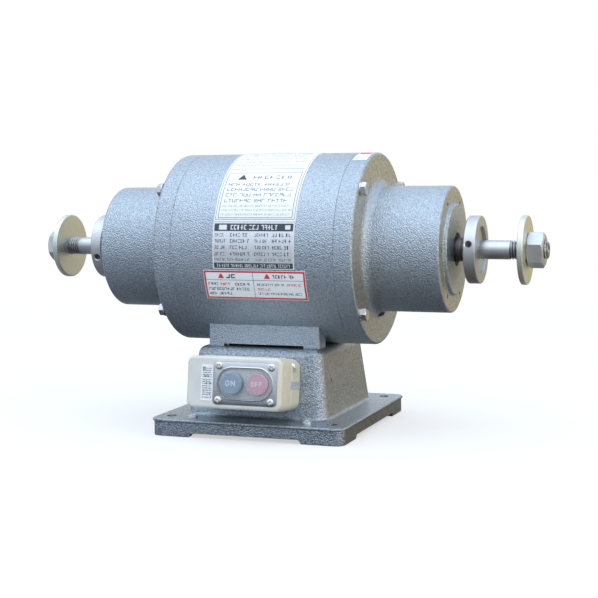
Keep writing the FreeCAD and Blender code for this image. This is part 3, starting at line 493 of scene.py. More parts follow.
def rubber(name, base=(0.02, 0.02, 0.022)):
    m = Mat(name)
    n = m.noise(500, 3, 0.6)
    b = m.noise(80, 3, 0.6)
    m.set("Base Color", m.mix(m.remap(b, 0.4, 0.7, 0.0, 0.5), base, (0.055, 0.054, 0.052)))
    m.set("Roughness", m.remap(n, 0.3, 0.7, 0.55, 0.75))
    m.set("Normal", m.bump(n, 0.25, 0.0001))
    return m.m


def copper(name):
    """Varnished winding wire, laid in strands round the bore."""
    m = Mat(name)
    r = m.radius()
    w = m.math("SINE", m.math("MULTIPLY", m.math("ADD", r, m.math("MULTIPLY", m.noise(120, 2, 0.5), 0.0012)), 2 * math.pi / 0.0011))
    b = m.noise(60, 3, 0.6)
    m.set("Base Color", m.mix(m.remap(w, -1, 1, 0.0, 0.6), (0.52, 0.20, 0.07), (0.22, 0.075, 0.03)))
    m.set("Metallic", 0.6)
    m.set("Roughness", m.remap(b, 0.3, 0.7, 0.28, 0.45))
    m.set("Normal", m.bump(w, 0.6, 0.0003))
    return m.m


def laminated(name):
    """Stacked electrical sheet, seen as fine lines along the shaft."""
    m = Mat(name)
    x = m.sep()[0]
    w = m.math("SINE", m.math("MULTIPLY", x, 2 * math.pi / 0.0005))
    n = m.noise(70, 4, 0.6)
    m.set("Base Color", m.mix(m.remap(n, 0.4, 0.7, 0.0, 0.6), (0.23, 0.23, 0.235), (0.14, 0.12, 0.10)))
    m.set("Metallic", 0.85)
    m.set("Roughness", m.remap(n, 0.3, 0.7, 0.35, 0.55))
    m.set("Normal", m.bump(w, 0.35, 0.00008))
    return m.m


def cast_alu(name):
    m = Mat(name)
    n = m.noise(260, 4, 0.65)
    g = m.voronoi(900, "SMOOTH_F1", smooth=0.5)
    m.set("Base Color", m.mix(m.remap(n, 0.35, 0.7, 0.0, 0.5), (0.50, 0.50, 0.50), (0.33, 0.33, 0.33)))
    m.set("Metallic", 1.0)
    m.set("Roughness", m.remap(n, 0.3, 0.7, 0.42, 0.6))
    m.set("Normal", m.bump(m.math("ADD", n, g), 0.4, 0.0002))
    return m.m


def clear_boot(name):
    """Translucent grey silicone membrane, slightly dusty."""
    m = Mat(name)
    n = m.noise(90, 4, 0.65)
    f = m.noise(900, 2, 0.5)
    m.set("Base Color", m.mix(m.remap(n, 0.4, 0.75, 0.0, 0.5), (0.60, 0.66, 0.71), (0.52, 0.56, 0.60)))
    m.set("Roughness", m.remap(n, 0.3, 0.7, 0.30, 0.45))
    m.set("Alpha", 0.22)
    m.set("Specular IOR Level", 0.55)
    m.set("Normal", m.bump(f, 0.06, 0.00005))
    return m.m


M = {
    "paint": hammer_paint(),
    "cast": hammer_paint("hammer_paint_cast", 1000.0, 0.52, 1.0, 0.75, 0.80),
    "ends": hammer_paint("hammer_paint_ends", 920.0, 0.0, 1.15, 0.85, 1.06, 0.0392),
    "sheet": brushed_plate("sheet_steel", (0.42, 0.42, 0.42), (0.35, 0.5)),
    "zinc": plated("zinc_fastener"),
    "rubber": rubber("black_rubber"),
    "felt": rubber("seal_rubber", (0.13, 0.132, 0.135)),
    "bright": plated("bright_zinc", (0.94, 0.95, 0.96), (0.26, 0.38)),
    "nickel": plated("screw_nickel", (0.86, 0.83, 0.79), (0.16, 0.28)),
    "core": laminated("core_steel"),
    "copper": copper("winding_copper"),
    "bearing": turned_steel("bearing_steel", (0.62, 0.62, 0.62), (0.08, 0.18), 3800, stain=0.1),
    "shaft": turned_steel("shaft_steel", (0.62, 0.625, 0.63), (0.24, 0.38), 2400, along_x=True),
    "flange": turned_steel("turned_steel", (0.66, 0.665, 0.67), (0.36, 0.50), 2600),
    "alu": cast_alu("cast_aluminium"),
    "yellow": plated("yellow_zinc", (0.80, 0.815, 0.74), (0.34, 0.48), yellow=0.12, grain=500),
    "nut": plated("nut_steel", (0.62, 0.635, 0.65), (0.30, 0.44), grain=700),
    "plate": brushed_plate("plate_metal", (0.86, 0.88, 0.91), (0.20, 0.30), metallic=0.6),
    "film": film("label_film"),
    "case": case_plastic("case_plastic"),
    "boot": clear_boot("clear_boot"),
    "rim": moulded("rim_plastic", (0.78, 0.75, 0.63), 0.34, grain=1500.0, vary=0.03, bump=0.1),
    "blue": moulded("blue_plastic", (0.155, 0.27, 0.44), 0.36, vary=0.03, bump=0.08),
    "red": moulded("red_plastic", (0.80, 0.26, 0.40), 0.36, vary=0.03, bump=0.08),
    "phenolic": moulded("brown_phenolic", (0.11, 0.05, 0.025), 0.35),
    "brass": plated("contact_brass", (0.62, 0.46, 0.20), (0.18, 0.32)),
    "satin": bezel_metal("bezel_plate"),
    "ink_grey": ink("ink_grey", (0.20, 0.21, 0.23)),
    "ink_black": ink("ink_black", (0.03, 0.033, 0.038)),
    "ink_dark": ink("ink_dark", (0.045, 0.05, 0.06)),
    "ink_red": ink("ink_red", (0.62, 0.035, 0.04)),
    "ink_white": ink("ink_white", (0.80, 0.82, 0.84)),
    "letter": ink("letter_white", (0.98, 0.98, 0.98)),
    "ink_head": ink("ink_header", (0.04, 0.052, 0.066)),
}

FINISH = {
    "base_casting": "cast", "stator_frame": "paint", "end_bracket_left": "ends", "end_bracket_right": "ends",
    "bottom_cover": "sheet", "bottom_cover_screws": "zinc", "bottom_cover_nuts": "zinc", "motor_bolts": "zinc",
    "motor_bolt_washers": "zinc", "bracket_bolts_left": "zinc", "bracket_bolts_right": "zinc",
    "bracket_washers_left": "zinc", "bracket_washers_right": "zinc", "bezel_screws": "zinc",
    "switch_fixing_screws": "zinc", "earth_screw": "zinc", "terminal_screws": "zinc",
    "lead_inlet_grommet": "rubber", "dust_seal_left": "felt", "dust_seal_right": "felt",
    "stator_core": "core", "rotor_core": "core", "stator_windings": "copper", "rotor_cage": "alu",
    "bearing_outer_ring_left": "bearing", "bearing_outer_ring_right": "bearing",
    "bearing_inner_ring_left": "bearing", "bearing_inner_ring_right": "bearing",
    "bearing_balls_left": "bearing", "bearing_balls_right": "bearing",
    "bearing_cage_left": "sheet", "bearing_cage_right": "sheet", "snap_ring_left": "bearing", "snap_ring_right": "bearing",
    "shaft": "shaft", "inner_flange_left": "flange", "inner_flange_right": "flange",
    "set_screw_left": "core", "set_screw_right": "core",
    "outer_flange_left": "yellow", "outer_flange_right": "yellow", "wheel_nut_left": "nut", "wheel_nut_right": "nut",
    "rating_plate": "plate", "upper_label": "film", "lower_label": "film", "end_label": "film", "switch_label": "film",
    "switch_rear_case": "case", "switch_cover": "case", "button_boots": "boot", "switch_bezel": "satin",
    "on_button": "blue", "off_button": "red", "switch_rocker": "phenolic", "moving_contacts": "brass",
    "rocker_pin": "bearing", "contact_block": "phenolic", "fixed_contacts": "brass", "cover_clip": "plate",
}
for n, ob in NODES.items():
    ob.data.materials.clear()
    ob.data.materials.append(M[FINISH[n]])


def finish_piece(ob, mat, body, slot=None, *replaces):
    ob.data.materials.clear()
    ob.data.materials.append(M[mat])
    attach(ob, body)
    if replaces:
        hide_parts(*replaces)
    return ob


# ------------------------------------------------------------------ shaft with cut threads
def shaft_piece():
    ARBOR, PITCH, T0, END = 7.94, 2.31, 200.4, 232.0
    CREST, ROOT = 7.9, 6.62

    def thread_r(x, th, hand):
        p = (x / PITCH - hand * th / (2 * math.pi)) % 1.0
        d = abs(p - 0.5) * 2.0                     # 0 at the root, 1 at the crest
        k = smoothstep(0.08, 0.92, d) * 0.25 + max(0.0, min(1.0, (d - 0.10) / 0.78)) * 0.75
        r = ROOT + (CREST - ROOT) * k
        run = smoothstep(T0 + 0.1, T0 + 0.9, x)
        r = ARBOR * (1 - run) + r * run if run < 1 else r
        cham = 6.1 + (END - x) / 1.7 * 1.8
        return min(r, cham) if x > END - 1.9 else r

    plain = [(0, 13.0), (39.3, 13.0), (39.5, 12.5), (130.4, 12.5), (131.0, 12.2), (131.0, 10.0), (159.9, 10.0),
             (160.15, 9.98), (160.4, 9.65), (161.2, 9.65), (161.45, 9.98), (161.7, 10.0), (165.6, 10.0), (166.05, 9.6),
             (166.05, 7.94), (174.3, 7.94), (174.6, 7.64), (176.1, 7.64), (176.3, 7.94), (199.8, 7.94), (T0, 7.94)]
    SEG = 96
    xs_thread, x = [], T0 + 0.2
    while x < END:
        xs_thread.append(x)
        x += PITCH / 12
    xs_thread.append(END)

    def half(sign, hand):
        rows = []
        for x, r in plain[1:]:
            rows.append([(MX + sign * x, r * math.cos(2 * math.pi * j / SEG), AXIS_H + r * math.sin(2 * math.pi * j / SEG)) for j in range(SEG)])
        for x in xs_thread:
            rows.append([])
            for j in range(SEG):
                th = 2 * math.pi * j / SEG
                r = thread_r(x, th, hand)
                rows[-1].append((MX + sign * x, r * math.cos(th), AXIS_H + r * math.sin(th)))
        # end face with its lathe centre
        for x, r in ((END, 5.4), (END, 3.7), (END - 0.35, 3.3), (END - 3.4, 1.15), (END - 5.2, 1.1), (END - 5.6, 0.4)):
            rows.append([(MX + sign * x, r * math.cos(2 * math.pi * j / SEG), AXIS_H + r * math.sin(2 * math.pi * j / SEG)) for j in range(SEG)])
        return rows

    right, left = half(1, 1), half(-1, 1)
    v, f = rings_to_mesh(list(reversed(left)) + right)
    return new_object("shaft_threaded", v, f, 38)


finish_piece(shaft_piece(), "shaft", "rotor", "bearing_steel", "shaft")


# ------------------------------------------------------------------ hexagon nuts and bolts
def hex_solid(place, z0, z1, af, rot, rho=0.45, bore=None, cham0=None, cham1=None, seg=180, k=0.35, top_dish=0.0):
    """A hexagon along local w, with cone chamfers at one or both ends that cut its corners. bore leaves a hole."""
    R = af / math.sqrt(3)

    def zs():
        n = 9
        a = [z0 + (z1 - z0) * i / n for i in range(n + 1)]
        e = [0.0, 0.12, 0.3, 0.6, 1.0, 1.5, 2.0]
        out = set(a)
        for d in e:
            if d < (z1 - z0) / 2:
                out.add(z0 + d)
                out.add(z1 - d)
        return sorted(out)

    def rad(th, z):
        r = hex_r(th - math.radians(rot), af, rho)
        if cham1 is not None:
            r = smin(r, cham1 + (z1 - z) * 1.732, k)
        if cham0 is not None:
            r = smin(r, cham0 + (z - z0) * 1.732, k)
        return r

    rows = []
    for z in zs():
        rows.append([place(rad(2 * math.pi * j / seg, z) * math.cos(2 * math.pi * j / seg),
                           rad(2 * math.pi * j / seg, z) * math.sin(2 * math.pi * j / seg), z) for j in range(seg)])

    def circle(r, z):
        return [place(r * math.cos(2 * math.pi * j / seg), r * math.sin(2 * math.pi * j / seg), z) for j in range(seg)]

    if bore is None:
        top = circle((cham1 or af / 2) * 0.90, z1 + 0.0)
        mid = circle((cham1 or af / 2) * 0.55, z1 - top_dish)
        bot = circle((cham0 or af / 2) * 0.9, z0)
        return rings_to_mesh([bot] + rows + [top, mid])
    c = 0.9
    inner = [circle(bore + c, z1), circle(bore, z1 - c), circle(bore, z0 + 0.5), circle(bore + 0.5, z0)]
    return loop_rings(rows + inner)


def lathe(place, prof, seg=96, ring=False):
    rows = [[place(r * math.cos(2 * math.pi * j / seg), r * math.sin(2 * math.pi * j / seg), z) for j in range(seg)] for r, z in prof]
    return loop_rings(rows) if ring else rings_to_mesh(rows)


for side, s, rot in (("left", -1, 38.0), ("right", 1, 20.0)):
    def nut_place(a, b, c, s=s):
        return (MX + s * c, -a, AXIS_H + b)
    b = Build()
    # corner angles of the hexagon are rot + 60 i, so its flats are 30 degrees on
    b.add(*hex_solid(nut_place, 215.75, 229.1, 26.6, rot + 30.0, 0.5, bore=7.97, cham1=12.5, cham0=13.6))
    b.add(*lathe(nut_place, [(7.97, 215.24), (12.2, 215.24), (12.4, 215.35), (12.4, 215.9), (7.97, 215.9)], 120, ring=True))
    finish_piece(b.make("hex_nut_" + side, 32), "nut", "wheel_nut_" + side, "zinc_fastener", "wheel_nut_" + side)

for side, s in (("left", -1), ("right", 1)):
    b = Build()
    for i, k in enumerate((42.5, -42.5, 137.5, -137.5)):
        p = ang_pt(76.0, k, s * 88.1)
        fr_ = frame_of(p, (s, 0, 0))
        b.add(*hex_solid(fr_, 1.2, 5.4, 10.0, 10 + 17 * i, 0.3, cham1=4.75, k=0.25, seg=120, top_dish=0.25))
        b.add(*lathe(fr_, [(2.5, 1.6), (2.5, -26.5), (2.0, -28.0)], 40))
    finish_piece(b.make("bracket_hex_bolts_" + side, 32), "zinc", "housing", "zinc_fastener", "bracket_bolts_" + side)


# ------------------------------------------------------------------ cross-head screws
def cross_head(place, R, h, shank_r, shank_l, turn=20.0, rings=26, seg=96):
    """Pan head with a tapered cross recess, on a plain shank."""
    ca, sa = math.cos(math.radians(turn)), math.sin(math.radians(turn))

    def top(r, th):
        x, y = r * math.cos(th), r * math.sin(th)
        u, v = x * ca + y * sa, -x * sa + y * ca
        z = h * (1 - 0.42 * (r / R) ** 2.2)
        a = smoothstep(R * 0.17, R * 0.10, abs(v)) * smoothstep(R * 0.60, R * 0.44, abs(u))
        b = smoothstep(R * 0.17, R * 0.10, abs(u)) * smoothstep(R * 0.60, R * 0.44, abs(v))
        return z - h * 0.62 * max(a, b) * (1 - 0.35 * (r / (R * 0.6)) if r < R * 0.6 else 0.65)

    rows = [[place(shank_r * math.cos(2 * math.pi * j / seg), shank_r * math.sin(2 * math.pi * j / seg), -shank_l) for j in range(seg)],
            [place(shank_r * math.cos(2 * math.pi * j / seg), shank_r * math.sin(2 * math.pi * j / seg), 0.0) for j in range(seg)]]
    for r, z in ((R * 0.97, 0.0), (R, 0.12 * h), (R, 0.40 * h)):
        rows.append([place(r * math.cos(2 * math.pi * j / seg), r * math.sin(2 * math.pi * j / seg), z) for j in range(seg)])
    for i in range(rings):
        r = R * (0.985 - 0.985 * i / rings)
        rows.append([place(r * math.cos(2 * math.pi * j / seg), r * math.sin(2 * math.pi * j / seg), top(r, 2 * math.pi * j / seg)) for j in range(seg)])
    return rings_to_mesh(rows)


b = Build()
for i, (sx, sy) in enumerate(((-1, -1), (-1, 1), (1, -1), (1, 1))):
    b.add(*cross_head(lambda x, y, z, sx=sx, sy=sy: (sx * 51.0 + x, sy * 79.0 + y, 14.8 + z), 4.0, 3.0, 1.95, 13.6, 15 + 37 * i))
finish_piece(b.make("cover_screws", 30), "bright", "housing", "zinc_fastener", "bottom_cover_screws")
b = Build()
for i, (sx, sy) in enumerate(((-1, -1), (-1, 1), (1, -1), (1, 1))):
    b.add(*cross_head(sw_frame(SW_PX + sx * 22.9, SW_PY + sy * 14.1, SW_D + 0.45), 3.15, 2.0, 1.3, 8.0, (12, 48, 70, 30)[i]))
finish_piece(b.make("bezel_cross_screws", 30), "nickel", "housing", "zinc_fastener", "bezel_screws")
b = Build()
for i, (x, y) in enumerate(((36.9, 14.2), (-36.9, -14.2))):
    b.add(*cross_head(sw_frame(x, y, 7.0), 3.5, 2.8, 1.65, 14.5, 25 + 40 * i))
finish_piece(b.make("case_cross_screws", 30), "nickel", "housing", "zinc_fastener", "switch_fixing_screws")


# ------------------------------------------------------------------ push-button plate
def stadium(hx, hy, r, n=10):
    """Rounded rectangle as a closed list of points, anticlockwise."""
    r = min(r, hx - 1e-3, hy - 1e-3)
    pts = []
    for cx, cy, a in ((hx - r, hy - r, 0), (-hx + r, hy - r, 90), (-hx + r, -hy + r, 180), (hx - r, -hy + r, 270)):
        pts += arc(cx, cy, r, a, a + 90, n)
    return pts


def section_loop(place, outlines):
    """Joins outlines of equal length [(points, z)] into a closed ring."""
    rows = [[place(x, y, z) for x, y in pts] for pts, z in outlines]
    return loop_rings(rows)


def bezel_piece():
    place = sw_frame(SW_PX, SW_PY, 0)
    D = SW_D
    n = 12

    def o(hx, hy, r, z):
        return (stadium(hx, hy, r, n), z)
    ring = [
        o(27.8, 17.5, 3.4, D - 0.72), o(27.8, 17.5, 3.4, D + 0.10), o(27.65, 17.35, 3.3, D + 0.33), o(27.35, 17.05, 3.1, D + 0.45),
        o(25.2, 14.3, 13.0, D + 0.45), o(24.75, 13.75, 13.4, D + 0.52), o(24.45, 13.45, 13.2, D + 0.80), o(24.2, 13.2, 13.0, D + 0.92),
        o(23.95, 12.95, 12.8, D + 0.80), o(23.8, 12.8, 12.7, D + 0.45), o(23.8, 12.8, 12.7, D - 0.72)]
    b = Build()
    b.add(*section_loop(place, ring))
    return b.make("bezel_plate_piece", 28)


finish_piece(bezel_piece(), "satin", "housing", "plate_metal", "switch_bezel")


def seam_bead():
    """Rim of the rear case just behind the cover, and the two filled ejector marks on the cover's right side."""
    place = sw_frame(0, 0, 0)
    hx, hy = 83.4 / 2, 43.0 / 2

    def o(k, z, r=8.0):
        return (stadium(hx + k, hy + k, r, 12), z)
    b = Build()
    b.add(*section_loop(place, [o(-0.5, 19.9), o(0.0, 19.9), o(0.38, 20.1), o(0.5, 20.5), o(0.5, 21.5), o(0.38, 21.9), o(0.0, 22.1), o(-0.5, 22.1)]))
    for y in (8.2, -9.4):
        n = 32

        def ell(k, x):
            return [sw(x, y + 2.3 * k * math.sin(2 * math.pi * j / n), 35.5 + 1.55 * k * math.cos(2 * math.pi * j / n)) for j in range(n)]
        b.add(*rings_to_mesh([ell(1.0, hx - 0.6), ell(1.0, hx + 0.02), ell(0.94, hx + 0.12), ell(0.55, hx + 0.16)]))
    return b.make("case_rim_and_marks", 30)


finish_piece(seam_bead(), "rim", "housing", "case_plastic")


# button faces: letters moulded in white, laid on as rounded strokes
def stroke(b, place, p, q, w, t=0.32, n=8):
    """A round-ended bar from p to q, w wide, with a small edge round."""
    (x0, y0), (x1, y1) = p, q
    a = math.atan2(y1 - y0, x1 - x0)
    h = w / 2

    def outline(r):
        pts = [(x1 + r * math.cos(a + u), y1 + r * math.sin(a + u)) for u in (-math.pi / 2 + math.pi * i / n for i in range(n + 1))]
        return pts + [(x0 + r * math.cos(a + u), y0 + r * math.sin(a + u)) for u in (math.pi / 2 + math.pi * i / n for i in range(n + 1))]
    rows = [[place(x, y, z) for x, y in outline(r)] for r, z in ((h, -0.2), (h, t - 0.12), (h - 0.04, t - 0.04), (h - 0.13, t))]
    b.add(*rings_to_mesh(rows))


def ring_letter(b, place, cx, hx, hy, w, t=0.32, n=48):
    """A rounded ring, w wide."""
    def outline(k):
        return [((hx + k) * math.cos(u) + cx, (hy + k) * math.sin(u)) for u in (2 * math.pi * i / n for i in range(n))]
    h = w / 2
    rows = [[place(x, y, z) for x, y in outline(k)] for k, z in ((h, -0.2), (h, t - 0.12), (h - 0.13, t), (-h + 0.13, t), (-h, t - 0.12), (-h, -0.2))]
    b.add(*loop_rings(rows))


def letter_set(text, cx, z, body, pitch, hx, hy, w):
    place = sw_frame(cx, SW_PY + 0.1, z)
    b = Build()
    x = -pitch * (len(text) - 1) / 2
    for ch in text:
        if ch == "O":
            ring_letter(b, place, x, hx - w / 2, hy - w / 2, w)
        elif ch == "N":
            l, r = x - hx + w / 2, x + hx - w / 2
            for p, q in (((l, -hy + w / 2), (l, hy - w / 2)), ((r, -hy + w / 2), (r, hy - w / 2)), ((l, hy - w / 2), (r, -hy + w / 2))):
                stroke(b, place, p, q, w)
        elif ch == "F":
            l, r = x - hx + w / 2, x + hx - w / 2
            for p, q in (((l, -hy + w / 2), (l, hy - w / 2)), ((l, hy - w / 2), (r, hy - w / 2)), ((l, 0.1), (r - 0.35, 0.1))):
                stroke(b, place, p, q, w)
        x += pitch
    return finish_piece(b.make("letters_" + text.lower(), 30), "letter", body, "label_film")


letter_set("ON", SW_PX - BTN_PITCH / 2 - 0.3, SW_D + 3.9, "on_button", 4.9, 1.9, 2.35, 0.85)
letter_set("OFF", SW_PX + BTN_PITCH / 2 - 0.6, SW_D + 3.9 - BTN_TRAVEL, "off_button", 3.45, 1.35, 2.15, 0.75)


# ------------------------------------------------------------------ prints on the labels
class Print:
    """Thin slabs of ink wrapped on the shell, in motor x (mm) and degrees above the front."""

    def __init__(self, r):
        self.b, self.r = Build(), r

    def bar(self, x0, x1, a0, a1, t=0.05):
        n = max(1, int(abs(a1 - a0) / 2.0 + 0.999))
        v, f = [], []
        for i in range(n + 1):
            a = a0 + (a1 - a0) * i / n
            for r in (self.r - 0.03, self.r + t):
                v.append(ang_pt(r, a, x0))
                v.append(ang_pt(r, a, x1))
        for i in range(n):
            p, q = 4 * i, 4 * i + 4
            f += [(p, p + 1, q + 1, q), (p + 2, q + 2, q + 3, p + 3), (p, q, q + 2, p + 2), (p + 1, p + 3, q + 3, q + 1)]
        f += [(0, 2, 3, 1), (4 * n, 4 * n + 1, 4 * n + 3, 4 * n + 2)]
        self.b.add(v, f)

    def frame(self, x0, x1, a0, a1, w):
        """A border of width w mm."""
        da = math.degrees(w / self.r)
        self.bar(x0, x1, a0, a0 + da)
        self.bar(x0, x1, a1 - da, a1)
        self.bar(x0, x0 + w, a0 + da, a1 - da)
        self.bar(x1 - w, x1, a0 + da, a1 - da)

    def words(self, x0, x1, a, h, rng, unit=2.0, gap=0.7, fill=1.0):
        """A row of block words between x0 and x1, h mm high, centred at angle a."""
        da = math.degrees(h / self.r) / 2
        end = x0 + (x1 - x0) * fill
        x = x0
        while x < end - unit * 0.5:
            w = min(unit * rng.choice((1, 1, 1.6, 2.2, 3.0)), end - x)
            self.bar(x, x + w, a - da, a + da)
            x += w + gap * rng.choice((1, 1, 1, 2.2))

    def marks(self, x0, x1, a, h, rng, w=1.25, gap=0.55, st=0.32, fill=1.0, word=6):
        """A row of small abstract marks, each two to four strokes in a cell w by h mm, grouped like words."""
        deg = math.degrees(1.0 / self.r)
        end = x0 + (x1 - x0) * fill
        x, left = x0, rng.randint(2, word)
        while x + w <= end:
            top, bot = a + h / 2 * deg, a - h / 2 * deg
            k = rng.choice(("lt", "lm", "lb", "rt", "rb", "tmb", "tc", "cm", "ltb", "lrm", "lrb", "tb", "lc", "mrt"))
            if "l" in k:
                self.bar(x, x + st, bot, top)
            if "r" in k:
                self.bar(x + w - st, x + w, bot, top)
            if "c" in k:
                self.bar(x + w / 2 - st / 2, x + w / 2 + st / 2, bot, top)
            if "t" in k:
                self.bar(x, x + w, top - st * deg, top)
            if "m" in k:
                self.bar(x, x + w, a - st / 2 * deg, a + st / 2 * deg)
            if "b" in k:
                self.bar(x, x + w, bot, bot + st * deg)
            x += w + gap
            left -= 1
            if left == 0:
                x += w * 0.8
                left = rng.randint(2, word)

    def make(self, name, mat, slot="label_film"):
        return finish_piece(self.b.make(name, 20), mat, "housing", slot)


rng = random.Random(7)
LX0, LX1 = -32.8, 39.2
# upper label: the framed lower block, a heading, then further blocks over the top
r_up = SHELL_R + 0.25
p = Print(r_up)
p.frame(LX0 + 1.0, LX1 - 1.0, 19.0, 97.2, 0.45)
p.frame(LX0 + 3.2, LX1 - 3.2, 20.0, 52.6, 0.55)
p.bar(LX0 + 3.2, LX1 - 3.2, 56.2, 56.6)
p.make("upper_label_border", "ink_grey")
p = Print(r_up)
for a in (31.0, 34.9, 38.8, 42.6):
    p.marks(LX0 + 6.5, LX1 - 5.6, a, 3.0, rng, 2.7, 0.75, 0.42, word=9)
p.marks(-6.0, 31.0, 48.4, 4.0, rng, 3.0, 0.9, 0.6, word=2)
for k in range(6):                                       # heading triangle, laid up in thin steps
    p.bar(-19.5 + 0.62 * k, -12.0 - 0.62 * k, 46.5 + 0.68 * k, 47.2 + 0.68 * k)
p.make("upper_label_rows", "ink_dark")
p = Print(r_up)
for a in (22.2, 24.9, 27.5):
    p.marks(LX0 + 5.5, LX1 - 5.0, a, 1.7, rng, 1.0, 0.42, 0.2, word=8)
row = 60.5
while row < 94:
    p.marks(LX0 + 5.5, LX1 - 5.0, row, 2.1, rng, 1.7, 0.6, 0.3, word=9)
    row += 4.6
p.make("upper_label_small_rows", "ink_grey")

# rating plate: dark heading and footer with light words, four columns of rows
r_pl = SHELL_R + 0.55
p = Print(r_pl)
p.bar(LX0 + 1.2, LX1 - 1.2, 12.2, 16.7)
p.bar(LX0 + 1.2, LX1 - 1.2, -9.2, -6.0)
p.make("rating_plate_bands", "ink_head", "plate_metal")
p = Print(r_pl)
p.frame(LX0 + 0.4, LX1 - 0.4, -9.5, 17.2, 0.55)
p.make("rating_plate_border", "ink_white", "plate_metal")
p = Print(r_pl + 0.05)
p.marks(-17.0, 27.0, 14.45, 4.0, rng, 2.2, 0.75, 0.75, word=6)
p.marks(-29.0, 36.0, -7.6, 2.6, rng, 1.25, 0.5, 0.38, word=8)
p.bar(31.0, 35.5, 13.2, 15.7)
p.bar(-27.5, -20.5, 13.0, 15.9)
p.make("rating_plate_reversed_words", "ink_white", "plate_metal")
p = Print(r_pl)
for a in (10.0, 6.5, 2.9, -0.9):
    p.marks(-30.8, -21.0, a, 2.7, rng, 1.5, 0.55, 0.46, word=5)
    p.marks(-17.0, 3.0, a, 2.9, rng, 1.7, 0.65, 0.55, 0.92, word=7)
    p.marks(4.5, 18.0, a, 2.7, rng, 1.5, 0.55, 0.46, word=6)
    p.marks(20.0, 37.5, a, 2.9, rng, 1.7, 0.65, 0.55, 0.95, word=7)
p.marks(-30.8, 1.0, -4.1, 2.0, rng, 1.1, 0.45, 0.3, word=5)
p.marks(6.0, 37.5, -4.1, 2.2, rng, 1.3, 0.5, 0.32, word=6)
p.make("rating_plate_rows", "ink_black", "plate_metal")

# lower label: red border, header row, divider
r_lo = SHELL_R + 0.25
p = Print(r_lo)
p.frame(-41.6, 47.6, -28.3, -10.8, 1.5)
p.make("lower_label_border", "ink_red")
p = Print(r_lo)
p.bar(-40.0, 46.0, -16.5, -16.2)
p.bar(1.8, 2.25, -27.2, -11.9)
p.make("lower_label_rules", "ink_grey")
p = Print(r_lo)
p.marks(-22.0, -13.0, -14.0, 3.5, rng, 3.6, 1.0, 0.95, word=4)
p.marks(19.0, 38.5, -14.0, 3.0, rng, 1.9, 0.75, 0.62, word=9)
p.make("lower_label_heads", "ink_black")
p = Print(r_lo)
for x0 in (-29.0, 12.0):
    for k in range(5):                                   # warning triangles, laid up in thin steps
        p.bar(x0 + 0.42 * k, x0 + 5.0 - 0.42 * k, -15.3 + 0.55 * k, -14.75 + 0.55 * k)
p.marks(-28.0, -15.5, -18.9, 2.4, rng, 1.8, 0.55, 0.55, word=9)
p.marks(31.0, 44.5, -18.9, 2.0, rng, 1.1, 0.45, 0.4, word=9)
p.marks(5.0, 17.0, -21.9, 2.0, rng, 1.1, 0.45, 0.4, word=4)
p.make("lower_label_red_marks", "ink_red")
p = Print(r_lo)
p.marks(-38.5, -29.5, -18.9, 2.4, rng, 1.8, 0.55, 0.52, word=9)
p.marks(-14.5, -1.0, -18.9, 2.4, rng, 1.8, 0.55, 0.52, word=9)
p.marks(5.0, 30.0, -18.9, 2.0, rng, 1.1, 0.45, 0.36, word=7)
p.marks(-38.5, -0.5, -21.9, 2.4, rng, 1.8, 0.55, 0.52, word=12)
p.marks(-38.5, -17.0, -24.9, 2.4, rng, 1.8, 0.55, 0.52, word=12)
p.marks(5.0, 45.0, -24.7, 2.0, rng, 1.1, 0.45, 0.36, word=6)
p.make("lower_label_rows", "ink_dark")

# end label
p = Print(r_lo)
p.bar(74.8, 85.2, 78.0, 83.2)
p.make("end_label_band", "ink_red")
p = Print(r_lo)
for a in (68.5, 71.5, 74.5):
    p.marks(75.5, 84.8, a, 1.7, rng, 1.1, 0.45, 0.28)
p.make("end_label_rows", "ink_grey")

# switch label: rows of short bars on the front face
b = Build()
lr = random.Random(3)


def slab(x0, x1, y0, y1, z, t=0.05):
    v = [sw(x, y, zz) for zz in (z - 0.03, z + t) for x, y in ((x0, y0), (x1, y0), (x1, y1), (x0, y1))]
    return v, [(0, 3, 2, 1), (4, 5, 6, 7), (0, 1, 5, 4), (1, 2, 6, 5), (2, 3, 7, 6), (3, 0, 4, 7)]


zt = SW_D + 0.2
y = SW_PY - 12.6
while y < SW_PY + 12.4:
    x = -27.4
    while x < -19.6:
        w = lr.choice((0.7, 1.1, 1.7, 2.6))
        b.add(*slab(x, min(x + w, -19.2), y, y + (1.5 if lr.random() < 0.3 else 0.8), zt))
        x += w + 0.45
    y += 2.25 if lr.random() < 0.25 else 1.75
finish_piece(b.make("switch_label_rows", 20), "ink_grey", "housing", "label_film")

# ------------------------------------------------------------------ stage
W = bpy.data.worlds.new("studio")
scene.world = W
W.use_nodes = True
nt = W.node_tree
nt.nodes.clear()
wo = nt.nodes.new("ShaderNodeOutputWorld")
tc = nt.nodes.new("ShaderNodeTexCoord")
sp = nt.nodes.new("ShaderNodeSeparateXYZ")
nt.links.new(tc.outputs["Generated"], sp.inputs[0])


def wmath(op, a, b=0.0, clamp=False):
    n = nt.nodes.new("ShaderNodeMath")
    n.operation = op
    n.use_clamp = clamp
    for i, v in enumerate((a, b)):
        if isinstance(v, bpy.types.NodeSocket):
            nt.links.new(v, n.inputs[i])
        else:
            n.inputs[i].default_value = v
    return n.outputs[0]




def wramp(fac, stops):
    n = nt.nodes.new("ShaderNodeValToRGB")
    nt.links.new(fac, n.inputs[0])
    e = n.color_ramp.elements
    while len(e) < len(stops):
        e.new(0.5)
    for el, (pos, c) in zip(e, stops):
        el.position = pos * 0.5 + 0.5
        el.color = (*c, 1)
    return n.outputs[0]


def wmix(fac, a, b):
    n = nt.nodes.new("ShaderNodeMix")
    n.data_type = "RGBA"
    n.blend_type = "MIX"
    for i, v in ((0, fac), (6, a), (7, b)):
        if isinstance(v, bpy.types.NodeSocket):
            nt.links.new(v, n.inputs[i])
        else:
            n.inputs[i].default_value = (*v, 1)
    return n.outputs[2]


